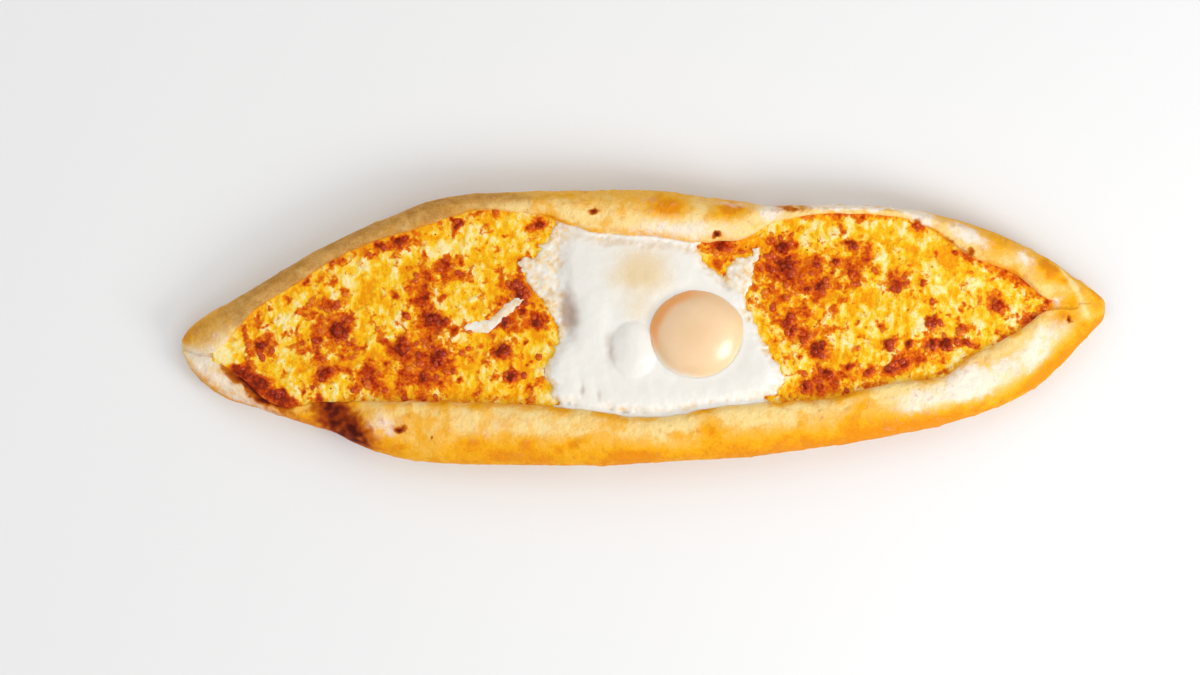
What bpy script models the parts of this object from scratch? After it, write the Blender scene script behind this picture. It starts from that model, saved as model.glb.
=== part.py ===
"""A baked cheese pide: a boat of dough filled with melted cheese, with an egg on its middle.

X runs from the left tip to the right one, +Y is the far side and +Z is up. The origin is on the table
under the middle of the bread. Sizes are in millimetres, and MM turns them into Blender's metres.
"""

import bisect
import math
import random

import bmesh
import bpy
from mathutils import Vector, geometry, noise

MM = 0.001


class Line:
    """A smooth curve y(x) through a few knots, which never overshoots between them."""

    def __init__(self, *knots):
        self.x, self.y = zip(*knots)
        rises = [
            (y1 - y0) / (x1 - x0)
            for x0, x1, y0, y1 in zip(self.x, self.x[1:], self.y, self.y[1:])
        ]
        inner = [
            2 * a * b / (a + b) if a * b > 0 else 0.0 for a, b in zip(rises, rises[1:])
        ]
        self.slopes = [rises[0], *inner, rises[-1]]

    def __call__(self, x):
        x = min(max(x, self.x[0]), self.x[-1])
        i = min(max(bisect.bisect_right(self.x, x) - 1, 0), len(self.x) - 2)
        run = self.x[i + 1] - self.x[i]
        t = (x - self.x[i]) / run
        rise = self.y[i + 1] - self.y[i]
        start, end = self.slopes[i] * run, self.slopes[i + 1] * run
        return self.y[i] + t * (
            start + t * (3 * rise - 2 * start - end + t * (start + end - 2 * rise))
        )


# The whole bread
HALF_LENGTH = 185.0
FIT_GAP = 0.35  # clearance between two pieces that touch
WALL_GAP = 0.5  # the same across a slanting side wall

# Outlines seen from above, as (x, y): the outer edges of the dough, and where its rolled edges end
FAR_OUTER = Line(
    (-185, 2.6), (-183, 5.2), (-177, 9.9), (-153, 22.6), (-128, 36), (-104, 46.1), (-79, 53.9),
    (-63, 55.5), (-31, 55), (1, 54), (33, 49), (57, 45.4), (81, 44.6), (112, 40.8), (136, 33.3),
    (160, 21.1), (175, 10.4), (185, 2.2),
)  # fmt: skip
NEAR_OUTER = Line(
    (-185, -3.5), (-182, -10.1), (-170, -21.5), (-155, -26.9), (-131, -36), (-108, -46.4),
    (-92, -50.5), (-52, -53.9), (-4, -55.3), (44, -54), (93, -49.2), (125, -43.4), (149, -35.3),
    (166, -24), (182, -6.5), (185, -2.4),
)  # fmt: skip
FAR_INNER = Line(
    (-185, -1.2), (-173, -4.2), (-162, 5), (-155, 12.3), (-137, 22.7), (-115, 34.6), (-92, 41.6),
    (-60, 48.4), (-39, 45.3), (-20, 38.3), (-8, 36.4), (8, 34.5), (24, 31.8), (40, 32.3), (54, 38.6),
    (72, 41.1), (104, 38.6), (116, 33), (132, 21.5), (149, 13.6), (162, 3.2), (185, 0),
)  # fmt: skip
NEAR_INNER = Line(
    (-185, -1.9), (-173, -5.9), (-162, -13.4), (-150, -24.4), (-142, -27), (-131, -25.2), (-91, -26.5),
    (-59, -28.7), (-31, -31.9), (5, -37.1), (29, -33.7), (69, -32.6), (93, -28.1), (118, -25.9),
    (127, -19.5), (148, -9.6), (162, -1.2), (185, -0.6),
)  # fmt: skip

# Heights along the bread, as (x, z): the rolled edges' crests and the lips where they meet the cheese
FAR_CREST = Line(
    (-185, 6.5), (-180, 12), (-150, 16.5), (-95, 19), (-55, 19.5), (-15, 22), (25, 22.5), (45, 20.5),
    (56, 16.2), (68, 17.4), (100, 17.8), (118, 19.5), (150, 18.5), (172, 15.5), (181, 12.5), (185, 7.5),
)  # fmt: skip
NEAR_CREST = Line(
    (-185, 5.5), (-179, 10), (-160, 13.5), (-143, 14.6), (-130, 16.2), (-121, 17.2), (-105, 20.5),
    (-50, 22.5), (0, 23.5), (50, 22.5), (100, 21), (140, 19), (170, 15.5), (181, 12), (185, 7),
)  # fmt: skip
FAR_LIP = Line(
    (-185, 5), (-173, 12), (-140, 14.6), (-60, 15), (30, 15.8), (62, 16), (104, 16.6), (125, 14.8),
    (163, 12.6), (176, 13.2), (185, 6.2),
)  # fmt: skip
NEAR_LIP = Line(
    (-185, 5), (-173, 11.4), (-145, 13.4), (-120, 14.4), (0, 15.6), (120, 14.6), (163, 12.6),
    (176, 12.8), (185, 6.2),
)  # fmt: skip

# The dough
STATIONS = 96
CROWDING = 0.35  # how much closer together the stations are at the tips
BED_TOP = 5.6  # top of the dough under the cheese
BED_CLOSES_FROM = 16.0  # width of the hollow where the bed starts to rise to meet the tip's seam
SEAM_GAP = 1.6  # width of the crease where the two rolled edges meet in a tip
SEAM_DROP = 0.6  # depth of that crease below the lips
BELLY_SHARE = 0.42  # height of a rolled edge's widest point, as a share of its crest
CREST_SHARE = 0.42  # how far in the crest lies, as a share of the rolled edge's width
TUCK = 4.6  # how far the underside is rounded in
TUCK_SHARE = 0.3
FULLNESS = 2 / 2.3  # below 1, an outer side is fuller than an ellipse
UNDER_STEPS, OUTER_STEPS, INNER_STEPS = 2, 4, 4
SWELLS = ((0.8, 28.0), (0.4, 11.0))  # (height, size) of the dough's unevenness

LIP_CALM = 5.0  # how far from the cheese it takes to set in

# Pleats across the rolled edges, as (x at the outer edge, slant, depth, half width)
FAR_PLEATS = ((-166, 0.5, 0.8, 3.5), (51, 0.35, 1.5, 4.5), (172, -0.8, 0.9, 3.5))
NEAR_PLEATS = ((-126, 0.4, 1.9, 5.5), (-172, 0.6, 0.8, 3.5), (166, -0.7, 0.9, 4))

# The cheese
CHEESE_FROM, CHEESE_TO = -172.0, 162.0
CHEESE_BELOW_LIP = 0.7
CHEESE_CROWN = 1.0
CURD_HEIGHT, CURD_SIZE = 2.1, 8.5
RIPPLE_HEIGHT, RIPPLE_SIZE = 0.5, 15.0
CHEESE_GRID = 3.0

# Browned blisters on the cheese: the large ones as (x, y, radius), and how the rest are strewn
LARGE_BLISTERS = (
    (-127.5, -13.7, 3.1), (-122.2, 3.3, 4), (-96.9, -5.8, 3.9), (-84, 5.6, 3.4), (-57, -8.3, 3.1),
    (-53.4, -18.5, 3), (-50.5, 18, 3), (58.3, 20.3, 4.4), (57.3, -2.5, 3.5), (69.3, -13, 4.1),
    (71.7, -23.1, 2.8), (101.2, 10.8, 3.1), (115.3, -3.8, 3.4), (118.1, -13.1, 3.3), (141.6, 1.5, 3),
)  # fmt: skip
SMALL_BLISTERS = 34
SMALL_RADII = (2.0, 3.2)
BLISTER_RISE = 0.36  # height as a share of the radius
BLISTER_RINGS = ((0.0, 1), (0.62, 6), (1.0, 9))  # (share of the radius, points)
BLISTER_SEED = 11

# The egg
SEAT_TOP = 13.2  # level top of the cheese under the egg
SEAT_BLEND = 3.2  # how far the cheese takes to rise from it
YOLK_CENTRE = Vector((21.2, -4.9))
YOLK_RADIUS = 18.8
YOLK_STRETCH = (1.03, 0.97)  # along x and y
YOLK_TOP = 26.4
YOLK_SIDES, YOLK_RINGS = 38, 7
YOLK_FLATNESS = 0.62  # height of the yolk's shoulder as a share of the dome
CUP_FLOOR = SEAT_TOP + FIT_GAP + 1.0
CUP_SLOPE = 0.4
WHITE_EDGE, WHITE_DEPTH, WHITE_SHOULDER = 0.9, 2.9, 4.0
WHITE_GRID = 3.0
WHITE_OUTLINE = (
    (-33, 40.6), (-26, 40.9), (-17, 36.3), (-8, 35.4), (4, 34.5), (15, 32.2), (22.5, 30.6),
    (24, 25.5), (31, 18.8), (34.2, 18.2), (36.5, 23.8), (42.5, 25.4), (45.3, 28.2), (48.3, 26.2),
    (44.6, 20.6), (44.2, 14.1), (41, 10), (43.5, 1), (48.5, -9.5), (55, -19), (54, -26.5), (47.5, -31),
    (34, -32.4), (20, -34), (5, -35.8), (-10, -34.2), (-27, -31), (-36, -28.8), (-37, -22.4),
    (-40, -16.5), (-35.5, -8.5), (-34.5, 2), (-40.5, 11.5), (-44, 17), (-47.5, 26), (-40.5, 31.4),
)  # fmt: skip
WHITE_STEP = 2.6
WHITE_CLEAR = 1.3  # least distance between the white and the dough

# Swellings and dents of the egg white, as (x, y, half length along x, along y, height)
WHITE_FORMS = (
    (-2, 20.5, 21, 15, 2.0),
    (-5.5, -9.8, 8.5, 12.5, 2.7),
    (-29.5, 6.8, 5.2, 10.5, -2.0),
    (6, -27, 24, 8, 0.7),
    (46, -21, 7, 8, 0.6),
)

# A stray strip of egg white on the cheese, to the left of the egg
STRIP_FROM, STRIP_TO = Vector((-70.5, 1.6)), Vector((-47.5, 12.2))
STRIP_BOW = 2.2
STRIP_WIDTHS = (1.4, 2.7, 2.1, 2.4, 1.2)
STRIP_SEAT = 14.6
STRIP_THICKNESS = 1.3


def smoothstep(low, high, value):
    t = min(max((value - low) / (high - low), 0.0), 1.0)
    return t * t * (3 - 2 * t)


def blend(a, b, share):
    return a + (b - a) * share


def swell(x, y, z, size):
    """Smooth noise from -1 to 1 whose bumps are about size across."""
    return noise.noise(Vector((x, y, z)) / size)


def make_object(name, mesh, colour, roughness):
    """Turns a finished bmesh, in millimetres, into a named object with its own material."""
    bmesh.ops.recalc_face_normals(mesh, faces=mesh.faces)
    if mesh.calc_volume(signed=True) < 0:
        bmesh.ops.reverse_faces(mesh, faces=mesh.faces)
    bmesh.ops.scale(mesh, vec=(MM, MM, MM), verts=mesh.verts)
    data = bpy.data.meshes.new(name)
    mesh.to_mesh(data)
    mesh.free()
    material = bpy.data.materials.new(name)
    material.use_nodes = True
    shader = material.node_tree.nodes["Principled BSDF"]
    shader.inputs["Base Color"].default_value = (*colour, 1)
    shader.inputs["Roughness"].default_value = roughness
    shader.inputs["Metallic"].default_value = 0
    data.materials.append(material)
    obj = bpy.data.objects.new(name, data)
    bpy.context.scene.collection.objects.link(obj)
    data.shade_smooth()
    data.set_sharp_from_angle(angle=math.radians(50))
    return obj


# The dough


def stations():
    """Positions along the bread, closer together towards its tips."""
    shares = [2 * i / STATIONS - 1 for i in range(STATIONS + 1)]
    return [
        HALF_LENGTH * blend(t, math.sin(t * math.pi / 2), CROWDING) for t in shares
    ]


def inner_edges(x):
    """(far, near) edges of the hollow that holds the cheese. In the tips they close to a crease."""
    far, near = FAR_INNER(x), NEAR_INNER(x)
    middle, half = (far + near) / 2, max(far - near, SEAM_GAP) / 2
    return middle + half, middle - half


def bed_height(x):
    """Top of the dough under the cheese, which rises to the crease where the hollow closes."""
    far, near = inner_edges(x)
    seam = min(FAR_LIP(x), NEAR_LIP(x)) - SEAM_DROP
    return blend(seam, BED_TOP, smoothstep(SEAM_GAP, BED_CLOSES_FROM, far - near))


def unevenness(x, y, z, inwards, pleats):
    """How far the dough stands out from its plain shape, at a point this far in from its edge."""
    push = sum(height * swell(x, y, z, size) for height, size in SWELLS)
    for start, slant, depth, half_width in pleats:
        push -= depth * math.exp(-(((x - start - slant * inwards) / half_width) ** 2))
    return push


def rolled_edge(x, outer, inner, crest, lip, pleats):
    """(y, z) points from under one rolled edge, up its side, over the crest and down to the bed."""
    side = math.copysign(1, outer - inner)
    width = abs(outer - inner)
    belly = BELLY_SHARE * crest
    tuck = min(TUCK, TUCK_SHARE * width)
    reach = CREST_SHARE * width
    ridge = outer - side * reach
    points = []
    for i in range(UNDER_STEPS):
        turn = math.pi / 2 * i / UNDER_STEPS
        points.append((outer - side * tuck * (1 - math.sin(turn)), belly * (1 - math.cos(turn))))
    for i in range(OUTER_STEPS):
        turn = math.pi / 2 * i / OUTER_STEPS
        out, up = math.cos(turn) ** FULLNESS, math.sin(turn) ** FULLNESS
        points.append((ridge + side * reach * out, blend(belly, crest, up)))
    for i in range(INNER_STEPS):
        turn = math.pi / 2 * i / INNER_STEPS
        points.append((blend(ridge, inner, math.sin(turn)), blend(lip, crest, math.cos(turn))))
    # The dough stays level underneath, and true where it meets the cheese.
    uneven = []
    for i, (y, z) in enumerate(points):
        push = unevenness(x, y, z, abs(outer - y), pleats) if i else 0.0
        push *= smoothstep(0, LIP_CALM, abs(inner - y))
        share = z / crest
        uneven.append((y + side * push * (1 - share), z + push * share))
    return [*uneven, (inner, lip), (inner, bed_height(x))]


def dough_ring(x):
    """The dough's cross-section at x, once round, starting under the far side."""
    far, near = inner_edges(x)
    far_side = rolled_edge(x, FAR_OUTER(x), far, FAR_CREST(x), FAR_LIP(x), FAR_PLEATS)
    near_side = rolled_edge(x, NEAR_OUTER(x), near, NEAR_CREST(x), NEAR_LIP(x), NEAR_PLEATS)
    return [(x, y, z) for y, z in far_side + near_side[::-1]]


def make_crust():
    mesh = bmesh.new()
    rings = [[mesh.verts.new(p) for p in dough_ring(x)] for x in stations()]
    for ring, after in zip(rings, rings[1:]):
        for i, vertex in enumerate(ring):
            mesh.faces.new((ring[i - 1], vertex, after[i], after[i - 1]))
    mesh.faces.new(rings[0])
    mesh.faces.new(rings[-1])
    return make_object("crust", mesh, (0.80, 0.50, 0.19), 0.62)


# Flat shapes with an uneven top


def smooth_loop(knots, step):
    """Points about a step apart on a smooth closed curve through the knots."""
    points = []
    knots = [Vector(knot) for knot in knots]
    for i, b in enumerate(knots):
        a, c, d = knots[i - 1], knots[(i + 1) % len(knots)], knots[(i + 2) % len(knots)]
        square, cube = 2 * a - 5 * b + 4 * c - d, 3 * b - a - 3 * c + d
        count = max(1, round((c - b).length / step))
        for t in (j / count for j in range(count)):
            points.append(tuple(b + 0.5 * (t * (c - a) + t * t * square + t**3 * cube)))
    return points


def edge_distance(point, loop):
    """Distance from a point to a closed outline, negative outside it."""
    x, y = point
    nearest, inside = math.inf, False
    for (x0, y0), (x1, y1) in zip(loop, loop[1:] + loop[:1]):
        dx, dy = x1 - x0, y1 - y0
        t = min(max(((x - x0) * dx + (y - y0) * dy) / (dx * dx + dy * dy), 0), 1)
        nearest = min(nearest, math.hypot(x - x0 - t * dx, y - y0 - t * dy))
        if (y0 > y) != (y1 > y) and x < x0 + (y - y0) * dx / dy:
            inside = not inside
    return nearest if inside else -nearest


def triangulated(points, loops):
    """Index triples of the triangles over flat points, inside the first of the loops."""
    edges = [(loop[i - 1], loop[i]) for loop in loops for i in range(len(loop))]
    flat = [Vector(p) for p in points]
    _, _, faces, origins, _, _ = geometry.delaunay_2d_cdt(flat, edges, [], 1, 1e-7)
    return [[origins[i][0] for i in face] for face in faces]


def slab(outline, grid, top, bottom, ridges=(), domes=()):
    """A solid between two surfaces over an outline.

    Ridges are closed lines that its top follows exactly, and domes are (x, y, radius) places that
    get points of their own.
    """
    count = len(outline)
    points = list(outline)
    for x, y, radius in domes:
        for share, sides in BLISTER_RINGS:
            turns = [2 * math.pi * i / sides for i in range(sides)]
            points += [(x + share * radius * math.cos(a), y + share * radius * math.sin(a)) for a in turns]
    loops = [list(range(count))]
    for ridge in ridges:
        loops.append(list(range(len(points), len(points) + len(ridge))))
        points += ridge
    lows = [min(p[k] for p in outline) for k in (0, 1)]
    highs = [max(p[k] for p in outline) for k in (0, 1)]
    row_gap = grid * math.sqrt(3) / 2
    for row in range(1, int((highs[1] - lows[1]) / row_gap) + 1):
        for column in range(1, int((highs[0] - lows[0]) / grid) + 1):
            point = (lows[0] + grid * (column - row % 2 / 2), lows[1] + row * row_gap)
            clear = all(math.dist(point, dome[:2]) > dome[2] + grid / 2 for dome in domes)
            clear = clear and all(abs(edge_distance(point, ridge)) > grid / 2 for ridge in ridges)
            if clear and edge_distance(point, outline) > grid / 2:
                points.append(point)
    mesh = bmesh.new()
    above = [mesh.verts.new((x, y, top(x, y))) for x, y in points]
    below = [mesh.verts.new((x, y, bottom(x, y))) for x, y in outline]
    for face in triangulated(points, loops):
        mesh.faces.new([above[i] for i in face])
    for face in triangulated(outline, loops[:1]):
        mesh.faces.new([below[i] for i in reversed(face)])
    rim = above[:count]
    for i in range(count):
        mesh.faces.new((rim[i - 1], rim[i], below[i], below[i - 1]))
    return mesh


# The cheese


def white_outline():
    """The egg white's outline, held back from the dough on both sides."""
    held = []
    for x, y in smooth_loop(WHITE_OUTLINE, WHITE_STEP):
        far, near = inner_edges(x)
        held.append((x, min(max(y, near + WHITE_CLEAR), far - WHITE_CLEAR)))
    return held


def strip_outline():
    """The stray strip's outline, round a gently bowed middle line."""
    along = STRIP_TO - STRIP_FROM
    across = along.orthogonal().normalized()
    last = len(STRIP_WIDTHS) - 1
    sides = ([], [])
    for i, width in enumerate(STRIP_WIDTHS):
        middle = STRIP_FROM + along * (i / last) - across * STRIP_BOW * math.sin(math.pi * i / last)
        sides[0].append(tuple(middle + across * width))
        sides[1].append(tuple(middle - across * width))
    return smooth_loop(sides[0] + sides[1][::-1], WHITE_STEP)


def blister_places():
    """(x, y, radius) of the browned bubbles, well apart and clear of the edges and the egg."""
    draw = random.Random(BLISTER_SEED)
    egg, strip = white_outline(), strip_outline()
    places = list(LARGE_BLISTERS)
    while len(places) < len(LARGE_BLISTERS) + SMALL_BLISTERS:
        x = draw.uniform(CHEESE_FROM, CHEESE_TO)
        far, near = inner_edges(x)
        y = draw.uniform(near, far)
        radius = draw.uniform(*SMALL_RADII)
        apart = all(math.dist((x, y), place[:2]) > 1.3 * (radius + place[2]) for place in places)
        room = min(far - y, y - near) > radius + CHEESE_GRID
        outside = -max(edge_distance((x, y), egg), edge_distance((x, y), strip))
        if apart and room and outside > radius + CHEESE_GRID:
            places.append((x, y, radius))
    return places


def cheese_top(blisters, seats):
    """The cheese's upper surface, as a function of x and y. Seats are (outline, height) left level."""

    def height(x, y):
        far, near = inner_edges(x)
        across = min(max((y - near) / (far - near), 0), 1)
        level = blend(NEAR_LIP(x), FAR_LIP(x), across) - CHEESE_BELOW_LIP
        inland = 4 * across * (1 - across)
        level += CHEESE_CROWN * inland
        nearest = noise.voronoi(Vector((x, y, 0)) / CURD_SIZE)[0][0]
        relief = CURD_HEIGHT * (0.45 - min(nearest, 0.9)) + RIPPLE_HEIGHT * swell(x, y, 0, RIPPLE_SIZE)
        for bx, by, radius in blisters:
            reach = math.dist((x, y), (bx, by)) / radius
            if reach < 1:
                relief += BLISTER_RISE * radius * math.sqrt(1 - reach * reach)
        level += relief * smoothstep(0, 0.35, inland)
        for outline, seat in seats:
            outside = -edge_distance((x, y), outline)
            level = blend(seat, level, smoothstep(0, SEAT_BLEND, outside))
        return level

    return height


def make_cheese():
    inside = [x for x in stations() if CHEESE_FROM < x < CHEESE_TO]
    far_side = [(x, inner_edges(x)[0] - WALL_GAP) for x in inside]
    near_side = [(x, inner_edges(x)[1] + WALL_GAP) for x in inside]
    seats = ((white_outline(), SEAT_TOP), (strip_outline(), STRIP_SEAT))
    blisters = blister_places()
    mesh = slab(
        near_side + far_side[::-1],
        CHEESE_GRID,
        cheese_top(blisters, seats),
        lambda x, y: bed_height(x) + FIT_GAP,
        [outline for outline, _ in seats],
        blisters,
    )
    return make_object("cheese", mesh, (0.90, 0.47, 0.06), 0.38)


# The egg


def yolk_ring(radius):
    """Points round the yolk's centre, on an oval of this mean radius."""
    long, short = (radius * stretch for stretch in YOLK_STRETCH)
    turns = [2 * math.pi * i / YOLK_SIDES for i in range(YOLK_SIDES)]
    return [(YOLK_CENTRE.x + long * math.cos(a), YOLK_CENTRE.y + short * math.sin(a)) for a in turns]


def white_top(outline):
    """The egg white's upper surface, with a cup where the yolk sits."""
    cup = yolk_ring(YOLK_RADIUS + FIT_GAP + CUP_SLOPE / 2)

    def height(x, y):
        if edge_distance((x, y), cup) > 0:
            return CUP_FLOOR
        depth = 1 - math.exp(-max(edge_distance((x, y), outline), 0) / WHITE_SHOULDER)
        level = SEAT_TOP + FIT_GAP + WHITE_EDGE + WHITE_DEPTH * depth
        for cx, cy, rx, ry, rise in WHITE_FORMS:
            reach = min(math.hypot((x - cx) / rx, (y - cy) / ry), 1)
            level += rise * depth * (1 - reach * reach) ** 1.5
        return level

    return height


def make_egg_white():
    outline = white_outline()
    cup_floor = yolk_ring(YOLK_RADIUS + FIT_GAP)
    cup_rim = yolk_ring(YOLK_RADIUS + FIT_GAP + CUP_SLOPE)
    mesh = slab(
        outline,
        WHITE_GRID,
        white_top(outline),
        lambda x, y: SEAT_TOP + FIT_GAP,
        (cup_rim, cup_floor),
    )
    return make_object("egg_white", mesh, (0.90, 0.88, 0.83), 0.25)


def make_egg_yolk():
    """A flattened dome that stands in the egg white's cup."""
    floor = CUP_FLOOR + FIT_GAP
    mesh = bmesh.new()
    rings = []
    for i in range(YOLK_RINGS):
        turn = math.pi / 2 * i / YOLK_RINGS
        radius = YOLK_RADIUS * math.cos(turn) ** YOLK_FLATNESS
        height = blend(floor, YOLK_TOP, math.sin(turn))
        rings.append([mesh.verts.new((x, y, height)) for x, y in yolk_ring(radius)])
    for ring, after in zip(rings, rings[1:]):
        for i, vertex in enumerate(ring):
            mesh.faces.new((ring[i - 1], vertex, after[i], after[i - 1]))
    mesh.faces.new(rings[0])
    top = mesh.verts.new((YOLK_CENTRE.x, YOLK_CENTRE.y, YOLK_TOP))
    for i, vertex in enumerate(rings[-1]):
        mesh.faces.new((rings[-1][i - 1], vertex, top))
    return make_object("egg_yolk", mesh, (0.90, 0.60, 0.32), 0.2)


def make_white_strip():
    outline = strip_outline()
    floor = STRIP_SEAT + FIT_GAP

    def height(x, y):
        return floor + STRIP_THICKNESS * smoothstep(-1.5, 2.0, edge_distance((x, y), outline))

    mesh = slab(outline, WHITE_GRID / 2, height, lambda x, y: floor)
    return make_object("egg_white_strip", mesh, (0.92, 0.89, 0.83), 0.3)


def main():
    for obj in list(bpy.data.objects):
        bpy.data.objects.remove(obj)
    make_crust()
    make_cheese()
    make_egg_white()
    make_egg_yolk()
    make_white_strip()


main()
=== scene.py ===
"""A baked cheese pide in a plain studio: a boat of dough, browned melted cheese and an egg.

Lengths are millimetres in the part's own frame, and MM turns them into Blender's metres. X runs from
the left tip to the right one, +Y is the far side and +Z is up.
"""

import logging
import math
import random
from abc import ABC, abstractmethod
from collections.abc import Callable, Iterable, Mapping, Sequence
from dataclasses import dataclass
from enum import Enum
from typing import Any

import bpy
import numpy as np
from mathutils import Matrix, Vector, noise
from mathutils.bvhtree import BVHTree


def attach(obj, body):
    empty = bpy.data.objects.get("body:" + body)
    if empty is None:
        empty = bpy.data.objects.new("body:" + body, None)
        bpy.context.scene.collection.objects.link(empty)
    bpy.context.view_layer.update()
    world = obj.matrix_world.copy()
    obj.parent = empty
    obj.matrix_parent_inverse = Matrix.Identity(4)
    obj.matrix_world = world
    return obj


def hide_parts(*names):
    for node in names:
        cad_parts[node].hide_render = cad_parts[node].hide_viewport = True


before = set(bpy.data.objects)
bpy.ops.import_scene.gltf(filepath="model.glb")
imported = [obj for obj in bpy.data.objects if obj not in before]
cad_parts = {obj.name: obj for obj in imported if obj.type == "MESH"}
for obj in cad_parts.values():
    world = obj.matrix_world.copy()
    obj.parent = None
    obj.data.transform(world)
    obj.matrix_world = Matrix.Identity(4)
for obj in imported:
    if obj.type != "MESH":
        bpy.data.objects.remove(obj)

log = logging.getLogger("pide")

MM = 0.001
BODY = "root"

Array = np.ndarray
Socket = bpy.types.NodeSocket
Value = Any
Colour = tuple[float, float, float]
Knots = tuple[tuple[float, float], ...]
Waves = tuple[tuple[float, float, float], ...]  # layers of noise: height, pattern and size


# Shapes and fields


def smoothstep(low: float, high: float, value: Array | float) -> Array:
    """Eases from 0 at low to 1 at high.

    Args:
        low: where the rise starts.
        high: where it ends.
        value: the values to ease.

    Returns:
        The eased values, from 0 to 1.
    """
    share = np.clip((value - low) / (high - low), 0, 1)
    return share * share * (3 - 2 * share)


def blend(a: Array | float, b: Array | float, share: Array | float) -> Array:
    """Goes from a to b as share goes from 0 to 1."""
    return a + (b - a) * share


def swell(x: Array, y: Array | float, z: Array | float, size: float) -> Array:
    """Smooth noise whose bumps are about size across.

    Args:
        x: places along the bread.
        y: places across it.
        z: heights, or one number that picks a pattern.
        size: size of the bumps.

    Returns:
        Values from about -1 to 1, in the shape of the places.
    """
    spread = np.stack(np.broadcast_arrays(x, y, z), -1) / size
    values = [noise.noise(point) for point in spread.reshape(-1, 3).tolist()]
    return np.array(values).reshape(spread.shape[:-1])


def swells(x: Array, y: Array, waves: Waves) -> Array:
    """Adds up layers of smooth noise."""
    return sum(height * swell(x, y, pattern, size) for height, pattern, size in waves)


def turned(dx: Array, dy: Array, turn: float) -> tuple[Array, Array]:
    """Turns offsets into ones along and across a direction, which is given in radians."""
    cos, sin = math.cos(turn), math.sin(turn)
    return dx * cos + dy * sin, dy * cos - dx * sin


@dataclass(frozen=True)
class Curve:
    """A smooth curve through a few knots, which never overshoots between them."""

    knots: Knots

    def __call__(self, x: Array | float) -> Array:
        """Reads the curve.

        Args:
            x: places to read it at. Beyond the ends it stays level.

        Returns:
            The curve's value at each place.
        """
        xs, ys = np.array(self.knots, float).T
        rises = np.diff(ys) / np.diff(xs)
        before, after = rises[:-1], rises[1:]
        steady = before * after > 0
        inner = np.where(steady, 2 * before * after / np.where(steady, before + after, 1), 0)
        slopes = np.concatenate([rises[:1], inner, rises[-1:]])
        x = np.clip(x, xs[0], xs[-1])
        i = np.clip(np.searchsorted(xs, x, "right") - 1, 0, len(xs) - 2)
        run, rise = xs[i + 1] - xs[i], ys[i + 1] - ys[i]
        t, start, end = (x - xs[i]) / run, slopes[i] * run, slopes[i + 1] * run
        return ys[i] + t * (start + t * (3 * rise - 2 * start - end + t * (start + end - 2 * rise)))


@dataclass(frozen=True)
class Spot:
    """An oval patch that fades out from its middle."""

    x: float
    y: float
    length: float
    width: float
    turn: float
    strength: float

    def __call__(self, x: Array, y: Array) -> Array:
        """Strength of the patch at each place.

        Args:
            x: places along the bread.
            y: places across it.

        Returns:
            Values from 0 to the patch's strength.
        """
        along, across = turned(x - self.x, y - self.y, math.radians(self.turn))
        return self.strength * np.exp(-((along / self.length) ** 2 + (across / self.width) ** 2))


def spots(*rows: Sequence[float]) -> tuple[Spot, ...]:
    """Reads rows of (x, y, length, width, turn, strength)."""
    return tuple(Spot(*row) for row in rows)


def layered(x: Array, y: Array, patches: Iterable[Spot]) -> Array:
    """Lays patches over each other, so that they add up but never pass 1. Negative ones take away.

    Args:
        x: places along the bread.
        y: places across it.
        patches: the patches.

    Returns:
        Their joint strength at each place.
    """
    bare = np.ones(np.broadcast(x, y).shape)
    for patch in patches:
        bare = bare * (1 - patch(x, y))
    return 1 - bare


def smooth_loop(knots: Knots, step: float) -> Array:
    """Draws a smooth closed curve through knots.

    Args:
        knots: the points that it passes through.
        step: about how far apart its own points are.

    Returns:
        The curve's points, one a row.
    """
    points, ring = [], np.array(knots, float)
    for i, b in enumerate(ring):
        a, c, d = ring[i - 1], ring[(i + 1) % len(ring)], ring[(i + 2) % len(ring)]
        count = max(1, round(float(np.linalg.norm(c - b)) / step))
        t = (np.arange(count) / count)[:, None]
        square, cube = 2 * a - 5 * b + 4 * c - d, 3 * b - a - 3 * c + d
        points.append(b + 0.5 * (t * (c - a) + t * t * square + t**3 * cube))
    return np.concatenate(points)


def edge_distance(x: Array, y: Array, loop: Array) -> Array:
    """Distance to a closed outline.

    Args:
        x: places along the bread.
        y: places across it.
        loop: the outline's points, one a row.

    Returns:
        The distance of each place, negative outside the outline.
    """
    nearest = np.full(np.broadcast(x, y).shape, np.inf)
    inside = np.zeros(nearest.shape, bool)
    for (x0, y0), (x1, y1) in zip(loop, np.roll(loop, -1, axis=0)):
        dx, dy = x1 - x0, y1 - y0
        t = np.clip(((x - x0) * dx + (y - y0) * dy) / (dx * dx + dy * dy), 0, 1)
        nearest = np.minimum(nearest, np.hypot(x - x0 - t * dx, y - y0 - t * dy))
        if dy:
            inside ^= ((y0 > y) != (y1 > y)) & (x < x0 + (y - y0) * dx / dy)
    return np.where(inside, nearest, -nearest)


# Meshes


def make_piece(
    name: str, points: Array, faces: Iterable[Sequence[int]], **layers: Array
) -> bpy.types.Object:
    """Makes a mesh object, with smooth faces that point outwards.

    Args:
        name: the object's name.
        points: its points, one a row.
        faces: the indices of each face's points.
        **layers: a number for each point, kept under the argument's name for materials to read.

    Returns:
        The new object, linked to the scene.
    """
    data = bpy.data.meshes.new(name)
    data.from_pydata((np.asarray(points) * MM).tolist(), [], [list(face) for face in faces])
    for layer, values in layers.items():
        attribute = data.attributes.new(layer, "FLOAT", "POINT")
        attribute.data.foreach_set("value", values.astype(np.float32).ravel())
    data.shade_smooth()
    obj = bpy.data.objects.new(name, data)
    bpy.context.scene.collection.objects.link(obj)
    return obj


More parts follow.
